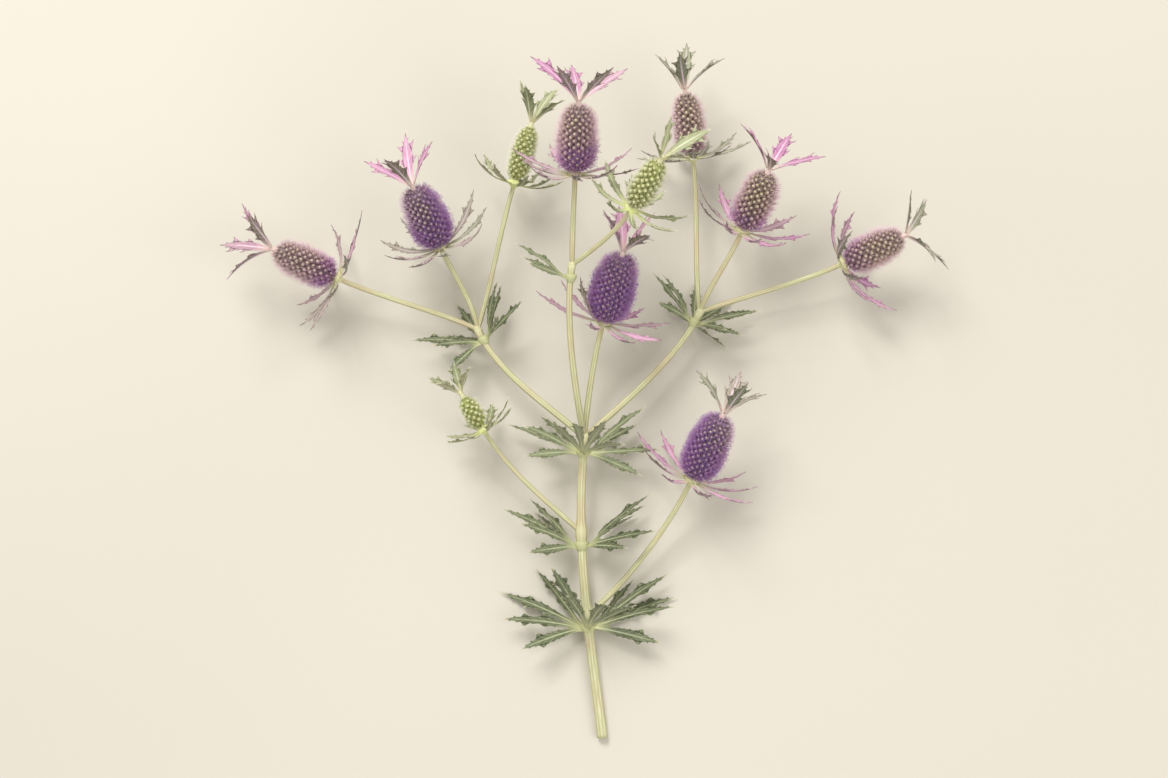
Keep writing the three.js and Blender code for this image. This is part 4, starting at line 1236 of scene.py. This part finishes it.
BLADES = {
    "bract_green": blade_material("bract_green", ("888e68", "b0b48e"), ("6e7452", "8c906c", "9e9a7c"),
                                  "e3dfb6", "e8dfc8", "dfe2c4", 7.0, collar="d6dc98"),
    "bract_mauve": blade_material("bract_mauve", ("b2799f", "d8a6c0"), ("625450", "7e7864", "9c7890"),
                                  "e8d2c6", "7c5660", "f2dcec", 7.0, collar="dadda4",
                                  unripe=("969a7e", "74785e")),
    "leaf": blade_material("leaf_skin", ("545c40", "7d8464"), ("687054", "828869", "94957c"), "c2c494",
                           "e4dcc0", "c8cdaa", 9.0),
}


# ---------------------------------------------------------------- dressing every node
HEAD_SLOTS = ((0.0, "head_young"), (0.3, "head_mid"), (0.75, "head_bloom"))
BRACT_SLOTS = ((0.0, "bract_green"), (0.3, "bract_mauve"))


def slot_for(entry, slots):
    return [slot for age, slot in slots if entry.flower.age >= age][-1]


def coarse_stem_corner():
    """The lowest corner of the part's stem in its own millimetres."""
    corners = []
    for entry in BRANCHES:
        shares = np.arange(tube_steps(entry) + 1) / tube_steps(entry)
        sides = TUBE_SIDES if entry.source else MAIN_TUBE_SIDES
        rings = rings_round(CURVES[entry.name].axes(shares), radius_at(entry, shares), sides)
        corners.append(rings.min((0, 1)))
    return np.min(corners, axis=0)


# The frame puts the origin under the middle of the part; this is how far it moved it.
SHIFT = np.array(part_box("stem")[0]) / MILLIMETRE - coarse_stem_corner()


def new_object(name, data):
    made = bpy.data.objects.new(name, data)
    bpy.context.scene.collection.objects.link(made)
    return made


def make_piece(shape, name, materials, node):
    """Turns a shape into an object in the frame, which stands for a CAD node."""
    mesh = bpy.data.meshes.new(name)
    points = (np.concatenate(shape.points) + SHIFT) * MILLIMETRE
    mesh.from_pydata(points.tolist(), [], shape.faces)
    for material in materials:
        mesh.materials.append(material)
    mesh.polygons.foreach_set("material_index", shape.slots)
    mesh.polygons.foreach_set("use_smooth", [True] * len(shape.faces))
    for value, parts in shape.values.items():
        numbers = np.concatenate(parts)
        if numbers.any():
            attribute = mesh.attributes.new(value, "FLOAT", "POINT")
            attribute.data.foreach_set("value", numbers.astype(np.float32))
    mesh.update()
    piece = new_object(name, mesh)
    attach(piece, "root")
    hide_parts(node)


make_piece(stem_shape(), "stem_skin", [STEM_SKIN], "stem")
for i, entry in enumerate(FLOWERING):
    name = entry.name
    draws = source_for("flower_look", i)
    slot = slot_for(entry, HEAD_SLOTS)
    materials = [BUDS[slot], BRISTLES[slot], STAMENS]
    make_piece(head_shape(entry, draws), f"florets_{name}", materials, f"head_{name}")
    slot = slot_for(entry, BRACT_SLOTS)
    make_piece(crown_shape(entry, draws), f"crown_bracts_{name}", [BLADES[slot]], f"crown_{name}")
    make_piece(ruff_shape(entry, draws), f"ruff_bracts_{name}", [BLADES[slot]], f"ruff_{name}")
for i, whorl in enumerate(WHORLS):
    leaves = whorl_shape(whorl, source_for("whorl_look", i))
    make_piece(leaves, f"{whorl.name}_cut", [BLADES["leaf"]], whorl.name)


# ---------------------------------------------------------------- floor, light and camera
def floor(half):
    mesh = bpy.data.meshes.new("floor")
    corners = [(-half, -half, 0), (half, -half, 0), (half, half, 0), (-half, half, 0)]
    mesh.from_pydata(corners, [], [(0, 1, 2, 3)])
    shader = Shader("floor_paper", 0.9, 0.1)
    cloudy = shader.ramp(shader.noise(1.4), (0.3, "c9c4b8"), (0.7, "cfcabe"))
    mesh.materials.append(shader.finish(cloudy))
    piece = new_object("floor", mesh)


def aim(obj, place, target):
    direction = np.array(target) - np.array(place)
    obj.location = place
    obj.rotation_euler = Vector(direction).to_track_quat("-Z", "Y").to_euler()


def lamp(name, place, target, size, power, colour):
    light = bpy.data.lights.new(name, "AREA")
    light.size = size
    light.energy = power
    light.color = colour
    aim(new_object(name, light), place, target)


def camera(target, elevation, distance, lens):
    data = bpy.data.cameras.new("camera")
    data.lens = lens
    made = new_object("camera", data)
    angle = math.radians(elevation)
    place = (target[0], target[1] - distance * math.cos(angle), target[2] + distance * math.sin(angle))
    aim(made, place, target)
    bpy.context.scene.camera = made


def world(colour, strength):
    made = bpy.data.worlds.new("studio")
    made.use_nodes = True
    background = made.node_tree.nodes["Background"]
    background.inputs["Color"].default_value = (*colour, 1)
    background.inputs["Strength"].default_value = strength
    bpy.context.scene.world = made


middle = np.mean(cad_box, axis=0)
floor(half=9.0)
world((1.0, 0.972, 0.935), strength=0.72)
lamp("key", (-0.7, 1.35, 2.05), middle, size=1.1, power=50, colour=(1.0, 0.985, 0.96))
lamp("fill", (1.6, -0.8, 1.9), middle, size=1.6, power=20, colour=(1.0, 0.99, 0.97))
camera((0.0, float(middle[1]) - 0.004, 0.03), elevation=80, distance=1.52, lens=70)
bpy.context.scene.view_settings.view_transform = "Standard"
